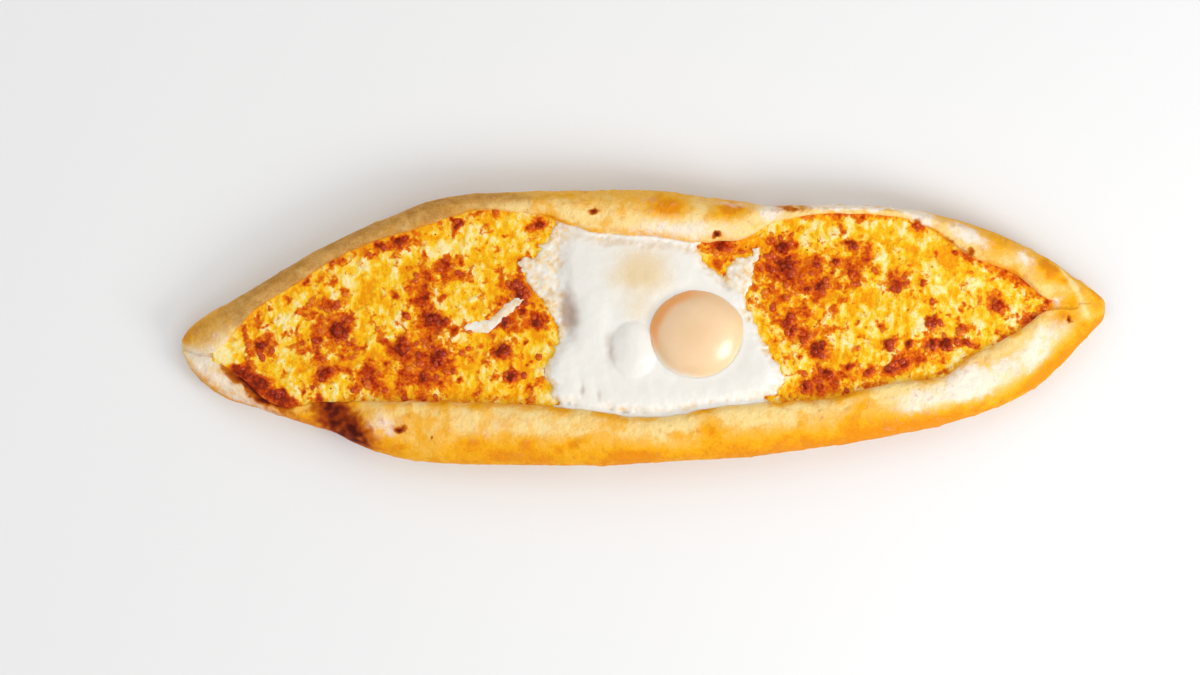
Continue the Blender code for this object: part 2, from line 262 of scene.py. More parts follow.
def grid_faces(rows: int, columns: int, closed: bool) -> list[tuple[int, int, int, int]]:
    """Faces of a grid of points that are numbered row by row.

    Args:
        rows: number of rows.
        columns: points in each row.
        closed: whether each row is a ring.

    Returns:
        Four point indices for each face.
    """
    index = np.arange(rows * columns).reshape(rows, columns)
    if closed:
        index = np.concatenate([index, index[:, :1]], axis=1)
    corners = (index[:-1, :-1], index[1:, :-1], index[1:, 1:], index[:-1, 1:])
    return [tuple(face) for face in np.stack(corners, -1).reshape(-1, 4).tolist()]


def tube_faces(rings: int, sides: int) -> list[tuple[int, ...]]:
    """Faces of a closed tube of points that are numbered ring by ring.

    Args:
        rings: number of rings.
        sides: points in each ring.

    Returns:
        The point indices of each face, those of both ends too.
    """
    walls = [face[::-1] for face in grid_faces(rings, sides, True)]
    first, last = range(sides), range((rings - 1) * sides, rings * sides)
    return [tuple(first), *walls, tuple(last)[::-1]]


def heightfield(
    name: str, x: Array, y: Array, keep: Array, top: Array, floor: float, **layers: Array
) -> bpy.types.Object:
    """Makes a closed solid under a surface that is known on a grid.

    Args:
        name: the object's name.
        x: the grid's places along the bread.
        y: its places across it.
        keep: which of the grid's cells the solid covers.
        top: height of the surface at each place.
        floor: height of its level underside.
        **layers: a number for each place, for materials to read.

    Returns:
        The new object.
    """
    index = np.arange(x.size).reshape(x.shape)
    corners = (index[:-1, :-1], index[1:, :-1], index[1:, 1:], index[:-1, 1:])
    cells = np.stack(corners, -1)[keep]
    used, cells = np.unique(cells, return_inverse=True)
    cells = cells.reshape(-1, 4)
    upper = np.stack([x.ravel()[used], y.ravel()[used], top.ravel()[used]], -1)
    lower = upper * (1, 1, 0) + (0, 0, floor)
    count = len(used)
    edges = np.stack([cells, np.roll(cells, -1, axis=1)], -1).reshape(-1, 2)
    known = {tuple(edge) for edge in edges.tolist()}
    rim = [(a, b) for a, b in known if (b, a) not in known]
    walls = [(b, a, a + count, b + count) for a, b in rim]
    faces = [*cells.tolist(), *(cells[:, ::-1] + count).tolist(), *walls]
    doubled = {key: np.tile(values.ravel()[used], 2) for key, values in layers.items()}
    return make_piece(name, np.concatenate([upper, lower]), faces, **doubled)


# Node trees


class Graph:
    """Adds nodes to one tree and links them."""

    def __init__(self, tree: bpy.types.NodeTree) -> None:
        """Empties the tree."""
        self.tree = tree
        tree.nodes.clear()

    def add(
        self, kind: str, inputs: Mapping[str | int, Value] | None = None, **settings: Value
    ) -> bpy.types.Node:
        """Adds a node.

        Args:
            kind: Blender's name for the node.
            inputs: what each input gets, by name or number: a socket to link, or a value.
            **settings: the node's own settings.

        Returns:
            The new node.
        """
        node = self.tree.nodes.new(kind)
        for key, value in settings.items():
            setattr(node, key, value)
        for key, value in (inputs or {}).items():
            if isinstance(value, Socket):
                self.tree.links.new(value, node.inputs[key])
            else:
                node.inputs[key].default_value = value
        return node

    def math(self, operation: str, *values: Value) -> Socket:
        """Works out one number from up to three."""
        return self.add("ShaderNodeMath", dict(enumerate(values)), operation=operation).outputs[0]

    def vector(self, operation: str, *values: Value) -> Socket:
        """Works out one vector from up to three."""
        return self.add("ShaderNodeVectorMath", dict(enumerate(values)), operation=operation).outputs[0]

    def scaled(self, vector: Value, factor: Value) -> Socket:
        """Makes a vector longer or shorter."""
        return self.add("ShaderNodeVectorMath", {0: vector, "Scale": factor}, operation="SCALE").outputs[0]

    def joined(self, *parts: Value) -> Socket:
        """Makes a vector of three numbers."""
        return self.add("ShaderNodeCombineXYZ", dict(enumerate(parts))).outputs[0]

    def stir(self, value: Value, cloud: Socket, amount: float) -> Socket:
        """Makes a number uneven, by a share of a cloud whose middle is 0.5."""
        return self.math("MULTIPLY_ADD", self.math("SUBTRACT", cloud, 0.5), amount, value)

    def ease(self, value: Value, low: float, high: float, floor: float = 0.0, roof: float = 1.0) -> Socket:
        """Eases a number from one range into another.

        Args:
            value: the number.
            low: where the rise starts.
            high: where it ends.
            floor: result at low and below.
            roof: result at high and above.

        Returns:
            The eased number.
        """
        inputs = {"Value": value, "From Min": low, "From Max": high, "To Min": floor, "To Max": roof}
        return self.add("ShaderNodeMapRange", inputs, interpolation_type="SMOOTHSTEP").outputs[0]

    def noise(self, place: Socket, size: Value, detail: float = 2.0, warp: float = 0.0) -> Socket:
        """Cloudy noise from 0 to 1.

        Args:
            place: where to read it, in the tree's unit.
            size: size of its clouds, in the same unit.
            detail: how many finer layers it has.
            warp: how much it twists itself.

        Returns:
            The noise.
        """
        scale = self.math("DIVIDE", 1.0, size)
        inputs = {"Vector": place, "Scale": scale, "Detail": detail, "Distortion": warp}
        return self.add("ShaderNodeTexNoise", inputs).outputs[0]

    def cells(self, place: Socket, size: Value) -> Socket:
        """Distance within soft round cells, 0 at each one's middle.

        Args:
            place: where to read it.
            size: size of the cells.

        Returns:
            The distance, as a share of the size.
        """
        scale = self.math("DIVIDE", 1.0, size)
        inputs = {"Vector": place, "Scale": scale}
        return self.add("ShaderNodeTexVoronoi", inputs, feature="SMOOTH_F1").outputs["Distance"]

    def attribute(self, name: str) -> Socket:
        """A number that the mesh keeps for each point, in a material."""
        return self.add("ShaderNodeAttribute", attribute_name=name).outputs["Fac"]

    def mix(self, share: Value, a: Value, b: Value) -> Socket:
        """Mixes two colours.

        Args:
            share: 0 gives a and 1 gives b.
            a: the first colour.
            b: the second.

        Returns:
            The mixed colour.
        """
        values = [(*v, 1.0) if isinstance(v, tuple) else v for v in (a, b)]
        node = self.add("ShaderNodeMix", {0: share, 6: values[0], 7: values[1]}, data_type="RGBA")
        return node.outputs[2]

    def ramp(self, share: Value, *stops: tuple[float, Colour]) -> Socket:
        """Reads a colour from a scale.

        Args:
            share: where to read, from 0 to 1.
            *stops: places on the scale and their colours.

        Returns:
            The colour.
        """
        node = self.add("ShaderNodeValToRGB", {0: share})
        elements = node.color_ramp.elements
        while len(elements) < len(stops):
            elements.new(0.5)
        for element, (place, colour) in zip(elements, stops):
            element.position = place
            element.color = (*colour, 1.0)
        return node.outputs[0]


class Recipe(Graph):
    """A Geometry Nodes tree with named inputs, which is run once on a mesh and kept as a plain mesh."""

    def __init__(self, name: str) -> None:
        """Starts a tree that takes in a mesh.

        Args:
            name: the tree's name.
        """
        super().__init__(bpy.data.node_groups.new(name, "GeometryNodeTree"))
        for way in ("INPUT", "OUTPUT"):
            self.tree.interface.new_socket("Geometry", in_out=way, socket_type="NodeSocketGeometry")
        self.source = self.add("NodeGroupInput")
        self.values: dict[str, float | int] = {}

    def given(self, name: str, value: float | int) -> Socket:
        """Adds a named input.

        Args:
            name: the input's name.
            value: what it is given when the tree runs.

        Returns:
            Its socket within the tree.
        """
        kind = "NodeSocketInt" if isinstance(value, int) else "NodeSocketFloat"
        item = self.tree.interface.new_socket(name, in_out="INPUT", socket_type=kind)
        self.values[item.identifier] = value
        return self.source.outputs[name]

    def place(self) -> Socket:
        """The place of each point, in millimetres."""
        return self.scaled(self.add("GeometryNodeInputPosition").outputs[0], 1 / MM)

    def layer(self, name: str) -> Socket:
        """A number that the mesh keeps for each point."""
        return self.add("GeometryNodeInputNamedAttribute", {"Name": name}, data_type="FLOAT").outputs[0]

    def keep(self, geometry: Socket, name: str, value: Value, domain: str = "POINT") -> Socket:
        """Keeps a number for each point or instance.

        Args:
            geometry: what it is kept on.
            name: the name it is kept under.
            value: the number.
            domain: Blender's name for what each number belongs to.

        Returns:
            The geometry with the number.
        """
        inputs = {"Geometry": geometry, "Name": name, "Value": value}
        kind = {"data_type": "FLOAT", "domain": domain}
        return self.add("GeometryNodeStoreNamedAttribute", inputs, **kind).outputs[0]

    def chance(self, low: Value, high: Value, seed: Value) -> Socket:
        """A random number for each point, between low and high."""
        inputs = {2: low, 3: high, "Seed": seed}
        return self.add("FunctionNodeRandomValue", inputs, data_type="FLOAT").outputs[1]

    def shift(self, geometry: Socket, direction: Value, distance: Value) -> Socket:
        """Moves each point.

        Args:
            geometry: what is moved.
            direction: which way.
            distance: how far, in millimetres.

        Returns:
            The moved geometry.
        """
        offset = self.scaled(direction, self.math("MULTIPLY", distance, MM))
        return self.add("GeometryNodeSetPosition", {"Geometry": geometry, "Offset": offset}).outputs[0]

    def run(self, obj: bpy.types.Object, result: Socket, material: bpy.types.Material) -> None:
        """Ends the tree, runs it on a piece and keeps what comes out as the piece's mesh.

        Args:
            obj: the piece, whose mesh goes in.
            result: the tree's outcome.
            material: what it is made of.
        """
        real = self.add("GeometryNodeRealizeInstances", {0: result}).outputs[0]
        dressed = self.add("GeometryNodeSetMaterial", {"Geometry": real, "Material": material}).outputs[0]
        self.add("NodeGroupOutput", {0: dressed})
        modifier = obj.modifiers.new(self.tree.name, "NODES")
        modifier.node_group = self.tree
        for identifier, value in self.values.items():
            modifier[identifier] = value
        depsgraph = bpy.context.evaluated_depsgraph_get()
        data = bpy.data.meshes.new_from_object(
            obj.evaluated_get(depsgraph), preserve_all_data_layers=True, depsgraph=depsgraph
        )
        obj.modifiers.remove(modifier)
        obj.data = data
        data.name = obj.name
        data.shade_smooth()


# Finishes


@dataclass(frozen=True)
class Surface:
    """What a finish works out for each place: colour, roughness and relief."""

    colour: Socket
    roughness: Socket
    height: Socket
    depth: float


@dataclass(frozen=True)
class Shine:
    """Values that are the same all over a surface."""

    specular: float = 0.5
    specular_tint: Colour = (1.0, 1.0, 1.0)
    coat: float = 0.0
    coat_roughness: float = 0.2
    glow: float = 0.0
    glow_reach: Colour = (1.0, 0.5, 0.2)
    glow_size: float = 1.0


class Finish(ABC):
    """The look of one kind of surface."""

    name: str
    shine: Shine

    @abstractmethod
    def paint(self, graph: Graph, place: Socket) -> Surface:
        """Works out the surface.

        Args:
            graph: the material's tree.
            place: the place on the object, in millimetres.

        Returns:
            The surface's sockets.
        """

    def material(self) -> bpy.types.Material:
        """Builds the finish, or finds it if it is already built.

        Returns:
            Its material.
        """
        if self.name in bpy.data.materials:
            return bpy.data.materials[self.name]
        material = bpy.data.materials.new(self.name)
        material.use_nodes = True
        graph = Graph(material.node_tree)
        place = graph.add("ShaderNodeTexCoord").outputs["Object"]
        surface = self.paint(graph, graph.scaled(place, 1 / MM))
        relief = {"Strength": 1.0, "Distance": surface.depth * MM, "Height": surface.height}
        shine = self.shine
        inputs = {
            "Base Color": surface.colour,
            "Roughness": surface.roughness,
            "Normal": graph.add("ShaderNodeBump", relief).outputs[0],
            "Specular IOR Level": shine.specular,
            "Specular Tint": (*shine.specular_tint, 1.0),
            "Coat Weight": shine.coat,
            "Coat Roughness": shine.coat_roughness,
            "Subsurface Weight": shine.glow,
            "Subsurface Radius": shine.glow_reach,
            "Subsurface Scale": shine.glow_size * MM,
        }
        shader = graph.add("ShaderNodeBsdfPrincipled", inputs)
        graph.add("ShaderNodeOutputMaterial", {"Surface": shader.outputs[0]})
        return material


@dataclass(frozen=True)
class BakedDough(Finish):
    """Dry golden dough that goes from pale to toasted, with flour and burnt places, and tan places that are
    partly painted shade.
    """

    name: str = "baked_dough"
    shine: Shine = Shine(specular=0.08, glow=0.12, glow_reach=(1.0, 0.55, 0.25), glow_size=2.0)
    light: Colour = (0.97, 0.71, 0.29)
    pale: Colour = (0.95, 0.64, 0.22)
    gold: Colour = (0.94, 0.50, 0.075)
    orange: Colour = (0.92, 0.42, 0.008)
    amber: Colour = (0.82, 0.28, 0.005)
    brown: Colour = (0.60, 0.15, 0.004)
    rust: Colour = (0.30, 0.036, 0.003)
    # tan and dull colour drier dough, and the painted shade on the far left roll.
    tan: Colour = (0.63, 0.33, 0.085)
    dull: Colour = (0.43, 0.19, 0.034)
    flour: Colour = (0.96, 0.86, 0.74)
    burnt: Colour = (0.09, 0.007, 0.002)
    cloud_size: float = 11.0
    blush_size: float = 8.0
    stale_size: float = 4.5
    mottle_size: float = 3.2
    pore_size: float = 1.9
    grain_size: float = 0.8
    dust_size: float = 0.5
    depth: float = 0.45

    def paint(self, graph: Graph, place: Socket) -> Surface:
        """Toasts the dough, then turns it tan where it is drier and where shade is painted, and flours and
        burns it where its layers say so.

        Args:
            graph: the material's tree.
            place: the place on the object, in millimetres.

        Returns:
            The surface's sockets.
        """
        cloud = graph.noise(place, self.cloud_size, 3.0, 0.4)
        mottle = graph.noise(place, self.mottle_size, 4.0, 0.3)
        grain = graph.noise(place, self.grain_size, 3.0)
        dust = graph.noise(place, self.dust_size, 1.0)
        # The toasting layer also holds painted light and shade: pale fold ridges and shaded valleys at the
        # right tip, and the inner lip.
        toast_and_painted_light = graph.stir(graph.attribute("toast_and_painted_light"), grain, 0.45)
        toast_and_painted_light = graph.stir(graph.stir(toast_and_painted_light, cloud, 0.55), mottle, 0.5)
        toast_and_painted_light = graph.math("MULTIPLY_ADD", graph.attribute("raised"), 0.16, toast_and_painted_light)
        blush = graph.ease(graph.noise(place, self.blush_size, 1.0), 0.54, 0.70)
        toast_and_painted_light = graph.math("MULTIPLY_ADD", blush, 0.26, toast_and_painted_light)
        scale = (self.light, self.pale, self.gold, self.orange, self.amber)
        colour = graph.ramp(toast_and_painted_light, *zip((0.0, 0.14, 0.36, 0.68, 1.0), scale))
        # Drier dough and painted shade, both tan.
        dry_and_shade = graph.stir(graph.stir(graph.attribute("dry_and_shade"), cloud, 0.6), mottle, 0.5)
        patchy = graph.math("MULTIPLY_ADD", grain, 0.5, graph.noise(place, self.stale_size, 3.0, 0.4))
        stale_and_shaded = graph.ramp(graph.stir(patchy, dust, 0.6), (0.58, self.dull), (0.92, self.tan))
        colour = graph.mix(graph.ease(dry_and_shade, 0.1, 0.95, 0.0, 0.9), colour, stale_and_shaded)
        dusted = graph.stir(graph.attribute("flour"), mottle, 0.9)
        dusted = graph.stir(graph.stir(dusted, cloud, 0.6), grain, 0.5)
        colour = graph.mix(graph.ease(dusted, 0.12, 0.90, 0.0, 0.9), colour, self.flour)
        char = graph.stir(graph.attribute("burn"), mottle, 0.7)
        for low, high, burnt in ((0.04, 0.35, self.brown), (0.25, 0.75, self.rust), (0.65, 1.1, self.burnt)):
            colour = graph.mix(graph.ease(char, low, high), colour, burnt)
        pores = graph.ease(graph.cells(place, self.pore_size), 0.0, 0.5)
        height = graph.math("MULTIPLY_ADD", pores, 0.35, graph.math("MULTIPLY_ADD", grain, 0.6, mottle))
        return Surface(colour, graph.ease(mottle, 0.2, 0.8, 0.52, 0.75), height, self.depth)


@dataclass(frozen=True)
class MeltedCheese(Finish):
    """Oily yellow cheese with paler curds, toasted through orange to dark brown."""

    name: str = "melted_cheese"
    shine: Shine = Shine(
        specular=0.4,
        specular_tint=(1.0, 0.5, 0.15),
        coat=0.1,
        coat_roughness=0.08,
        glow=0.15,
        glow_reach=(1.0, 0.6, 0.15),
        glow_size=1.5,
    )
    deep: Colour = (0.86, 0.31, 0.002)
    golden: Colour = (0.94, 0.44, 0.003)
    yellow: Colour = (0.97, 0.57, 0.012)
    light: Colour = (0.98, 0.70, 0.13)
    cream: Colour = (0.98, 0.81, 0.40)
    amber: Colour = (0.87, 0.32, 0.002)
    orange: Colour = (0.78, 0.19, 0.002)
    red: Colour = (0.65, 0.085, 0.001)
    dark: Colour = (0.42, 0.022, 0.001)
    black: Colour = (0.17, 0.004, 0.001)
    cloud_size: float = 9.0
    blotch_size: float = 3.4
    speck_size: float = 1.8
    streak_size: float = 1.7
    mottle_size: float = 0.9
    depth: float = 0.3

    def paint(self, graph: Graph, place: Socket) -> Surface:
        """Shades the cheese by its curds and streaks, then browns it.

        Args:
            graph: the material's tree.
            place: the place on the object, in millimetres.

        Returns:
            The surface's sockets.
        """
        stretched = graph.vector("MULTIPLY", place, (1.0, 0.5, 1.0))
        streaks = graph.noise(stretched, self.streak_size, 2.0, 0.5)
        mottle = graph.noise(place, self.mottle_size, 2.0, 0.3)
        blotch = graph.noise(place, self.blotch_size, 3.0, 0.6)
        cloud = graph.noise(place, self.cloud_size, 2.0, 0.3)
        speck = graph.noise(place, self.speck_size, 2.0, 0.4)
        tone = graph.stir(graph.attribute("relief"), streaks, 1.3)
        tone = graph.stir(graph.stir(tone, mottle, 0.7), cloud, 1.0)
        tone = graph.math("MULTIPLY_ADD", graph.attribute("pale"), 0.30, tone)
        scale = (self.deep, self.golden, self.yellow, self.light, self.cream)
        base = graph.ramp(tone, *zip((0.10, 0.32, 0.54, 0.76, 1.0), scale))
        hot = graph.stir(graph.attribute("browned"), mottle, 0.42)
        hot = graph.stir(graph.stir(hot, blotch, 1.05), speck, 0.6)
        scale = (self.amber, self.orange, self.red, self.dark, self.black)
        toasted = graph.ramp(hot, *zip((0.20, 0.38, 0.56, 0.76, 1.0), scale))
        colour = graph.mix(graph.ease(hot, 0.10, 0.34), base, toasted)
        height = graph.math("MULTIPLY_ADD", streaks, 0.6, mottle)
        dull = graph.ease(mottle, 0.25, 0.75, 0.3, 0.5)
        roughness = graph.math("MULTIPLY", dull, graph.ease(hot, 0.4, 0.9, 1.0, 0.6))
        return Surface(colour, roughness, height, self.depth)


@dataclass(frozen=True)
class Blister(Finish):
    """Glossy dark skin of a burnt cheese bubble, more orange-red where the cheese under it is less browned.
    """

    name: str = "browned_blister"
    shine: Shine = Shine(
        specular=0.5, specular_tint=(1.0, 0.4, 0.25), coat=0.45, coat_roughness=0.05, glow=0.05
    )
    foot: Colour = (0.76, 0.19, 0.003)
    red: Colour = (0.57, 0.058, 0.001)
    dark: Colour = (0.30, 0.012, 0.001)
    mottle_size: float = 0.9
    depth: float = 0.16

    def paint(self, graph: Graph, place: Socket) -> Surface:
        """Darkens the skin by the browning under it and the piece's own tone.

        Args:
            graph: the material's tree.
            place: the place on the object, in millimetres.

        Returns:
            The surface's sockets.
        """
        mottle = graph.noise(place, self.mottle_size, 3.0, 0.2)
        share = graph.stir(graph.attribute("browned"), mottle, 0.8)
        share = graph.math("MULTIPLY_ADD", graph.attribute("tone"), 0.25, share)
        colour = graph.ramp(share, (0.22, self.foot), (0.55, self.red), (0.95, self.dark))
        return Surface(colour, graph.ease(mottle, 0.3, 0.7, 0.16, 0.36), mottle, self.depth)


@dataclass(frozen=True)
class BakedWhite(Finish):
    """Set egg white: smooth and milky, a little yellow or brown in places, with painted shade in its hollows,
    by its dome and in a crease.
    """

    name: str = "baked_white"
    shine: Shine = Shine(
        coat=0.12, coat_roughness=0.25, glow=0.25, glow_reach=(1.0, 0.9, 0.75), glow_size=1.5
    )
    white: Colour = (0.86, 0.835, 0.775)
    warm: Colour = (0.825, 0.63, 0.35)
    # Colour of the brown spots and of the painted shade.
    brown: Colour = (0.44, 0.29, 0.215)
    cheesy: Colour = (0.87, 0.62, 0.28)
    toasted: Colour = (0.66, 0.30, 0.06)
    cloud_size: float = 6.0
    fleck_size: float = 2.5
    grain_size: float = 0.8
    unevenness: float = 0.5
    depth: float = 0.12

    def paint(self, graph: Graph, place: Socket) -> Surface:
        """Warms the white, then flecks its thin parts, browns its spots and paints shade in its hollows.

        Args:
            graph: the material's tree.
            place: the place on the object, in millimetres.

        Returns:
            The surface's sockets.
        """
        cloud = graph.noise(place, self.cloud_size, 3.0, 0.3)
        grain = graph.noise(place, self.grain_size, 3.0)
        fleck = graph.noise(place, self.fleck_size, 4.0, 0.5)
        uneven = graph.math("MULTIPLY", graph.math("SUBTRACT", cloud, 0.5), self.unevenness)
        tint = graph.stir(graph.math("ADD", graph.attribute("tint"), uneven), grain, 0.5)
        colour = graph.mix(graph.ease(tint, 0.1, 1.1, 0.0, 0.95), self.white, self.warm)
        rim = graph.stir(graph.math("ADD", graph.attribute("edge"), uneven), fleck, 2.4)
        colour = graph.mix(graph.ease(rim, 0.55, 1.45, 0.0, 0.85), colour, self.cheesy)
        colour = graph.mix(graph.ease(rim, 1.15, 1.65, 0.0, 0.6), colour, self.toasted)
        # Brown spots and painted shade, from the same layer.
        stain = graph.math("ADD", graph.attribute("stain"), uneven)
        colour = graph.mix(graph.ease(stain, 0.1, 0.9, 0.0, 0.8), colour, self.brown)
        height = graph.math("MULTIPLY_ADD", grain, 0.35, cloud)
        return Surface(colour, graph.ease(grain, 0.3, 0.7, 0.28, 0.42), height, self.depth)


@dataclass(frozen=True)
class YolkSkin(Finish):
    """Half set yolk under a thin film of white, more orange where the film is missing and as painted shade on
    the side away from the light, and painted lighter as painted light on its lit side.
    """

    name: str = "yolk_skin"
    shine: Shine = Shine(
        specular=0.3, coat=1.0, coat_roughness=0.22, glow=0.3, glow_reach=(1.0, 0.6, 0.3), glow_size=2.5
    )
    peach: Colour = (0.89, 0.61, 0.35)
    gold: Colour = (0.92, 0.68, 0.39)
    orange: Colour = (0.96, 0.41, 0.12)
    white: Colour = (0.90, 0.80, 0.68)
    cloud_size: float = 5.0
    grain_size: float = 0.6
    unevenness: float = 0.35
    depth: float = 0.05

    def paint(self, graph: Graph, place: Socket) -> Surface:
        """Paints the lit side lighter as painted light, paints one rim more orange where it has no film and
        lies in painted shade, and veils the other.

        Args:
            graph: the material's tree.
            place: the place on the object, in millimetres.

        Returns:
            The surface's sockets.
        """
        cloud = graph.noise(place, self.cloud_size, 3.0, 0.4)
        grain = graph.noise(place, self.grain_size, 2.0)
        uneven = graph.math("MULTIPLY", graph.math("SUBTRACT", cloud, 0.5), self.unevenness)
        colour: Value = self.peach
        # Painted light: the first crescent lightens the side towards the lamp. The second is yolk without
        # film plus painted shade on the side away from it.
        bright, bare = ("bright", 0.0, 1.0, self.gold), ("bare", 0.15, 0.85, self.orange)
        for name, low, high, tone in (bright, bare, ("film", 0.2, 0.9, self.white)):
            share = graph.ease(graph.math("ADD", graph.attribute(name), uneven), low, high)
            colour = graph.mix(share, colour, tone)
        height = graph.math("MULTIPLY_ADD", grain, 0.2, cloud)
        return Surface(colour, graph.ease(grain, 0.3, 0.7, 0.30, 0.42), height, self.depth)


# The dough


class Side(Enum):
    """The long sides of the bread, each with the sign of its y."""

    FAR = 1
    NEAR = -1


@dataclass(frozen=True)
class RolledEdge:
    """One long edge of the dough, rolled in over the filling.

    Each pleat has a place, a slant, a depth and a half width. Each swell has a height and a size.
    """

    side: Side
    outer: Curve
    inner: Curve
    crest: Curve
    lip: Curve
    pleats: tuple[tuple[float, float, float, float], ...]
    belly_share: float = 0.42
    crest_share: float = 0.56
    tuck: float = 4.6
    tuck_share: float = 0.3
    fullness: float = 2 / 2.3
    inner_fullness: float = 2 / 3
    soft_right: tuple[float, float] = (156.0, 166.0)
    soft_left: tuple[float, float] = (-168.0, -178.0)
    swells: tuple[tuple[float, float], ...] = ((0.8, 28.0), (0.4, 11.0), (0.16, 4.6))
    lip_calm: float = 5.0
    steps: tuple[int, int, int] = (7, 23, 25)

    def softness(self, x: Array) -> Array:
        """How far the inner side ends level instead of steeply, as it does in the tips."""
        return np.maximum(smoothstep(*self.soft_right, x), smoothstep(*self.soft_left, x))

    def profile(self, x: Array, inner: Array) -> tuple[Array, Array, Array]:
        """Cross-sections from under the edge, up its side and over its crest to the filling.

        Args:
            x: places along the bread, as a column.
            inner: where the edge ends at each of them, as a column.

        Returns:
            y, z and how far in each point is as a share of the edge's width, one cross-section a row.
        """
        side = self.side.value
        outer, crest, lip = self.outer(x), self.crest(x), self.lip(x)
        width = abs(outer - inner)
        belly, reach = self.belly_share * crest, self.crest_share * width
        tuck = np.minimum(self.tuck, self.tuck_share * width)
        ridge = outer - side * reach
        under, over, down = (np.linspace(0, math.pi / 2, count, endpoint=False) for count in self.steps)
        out, up = np.cos(over) ** self.fullness, np.sin(over) ** self.fullness
        share, drop = np.sin(down) ** self.inner_fullness, np.cos(down) ** self.inner_fullness
        drop = blend(drop, 0.5 + 0.5 * np.cos(math.pi * share), self.softness(x))
        foot = outer - side * tuck * (1 - np.sin(under))
        y = np.concatenate([foot, ridge + side * reach * out, blend(ridge, inner, share)], axis=1)
        foot = belly * (1 - np.cos(under))
        z = np.concatenate([foot, blend(belly, crest, up), blend(lip, crest, drop)], axis=1)
        push = sum(height * swell(x, y, z, size) for height, size in self.swells)
        for start, slant, depth, half_width in self.pleats:
            push = push - depth * np.exp(-(((x - start - slant * abs(outer - y)) / half_width) ** 2))
        push = push * smoothstep(0, self.lip_calm, abs(inner - y))
        push[:, 0] = 0
        share = z / crest
        y, z = y + side * push * (1 - share), z + push * share
        y, z = np.concatenate([y, inner], axis=1), np.concatenate([z, lip], axis=1)
        return y, z, np.clip(abs(outer - y) / width, 0, 1)


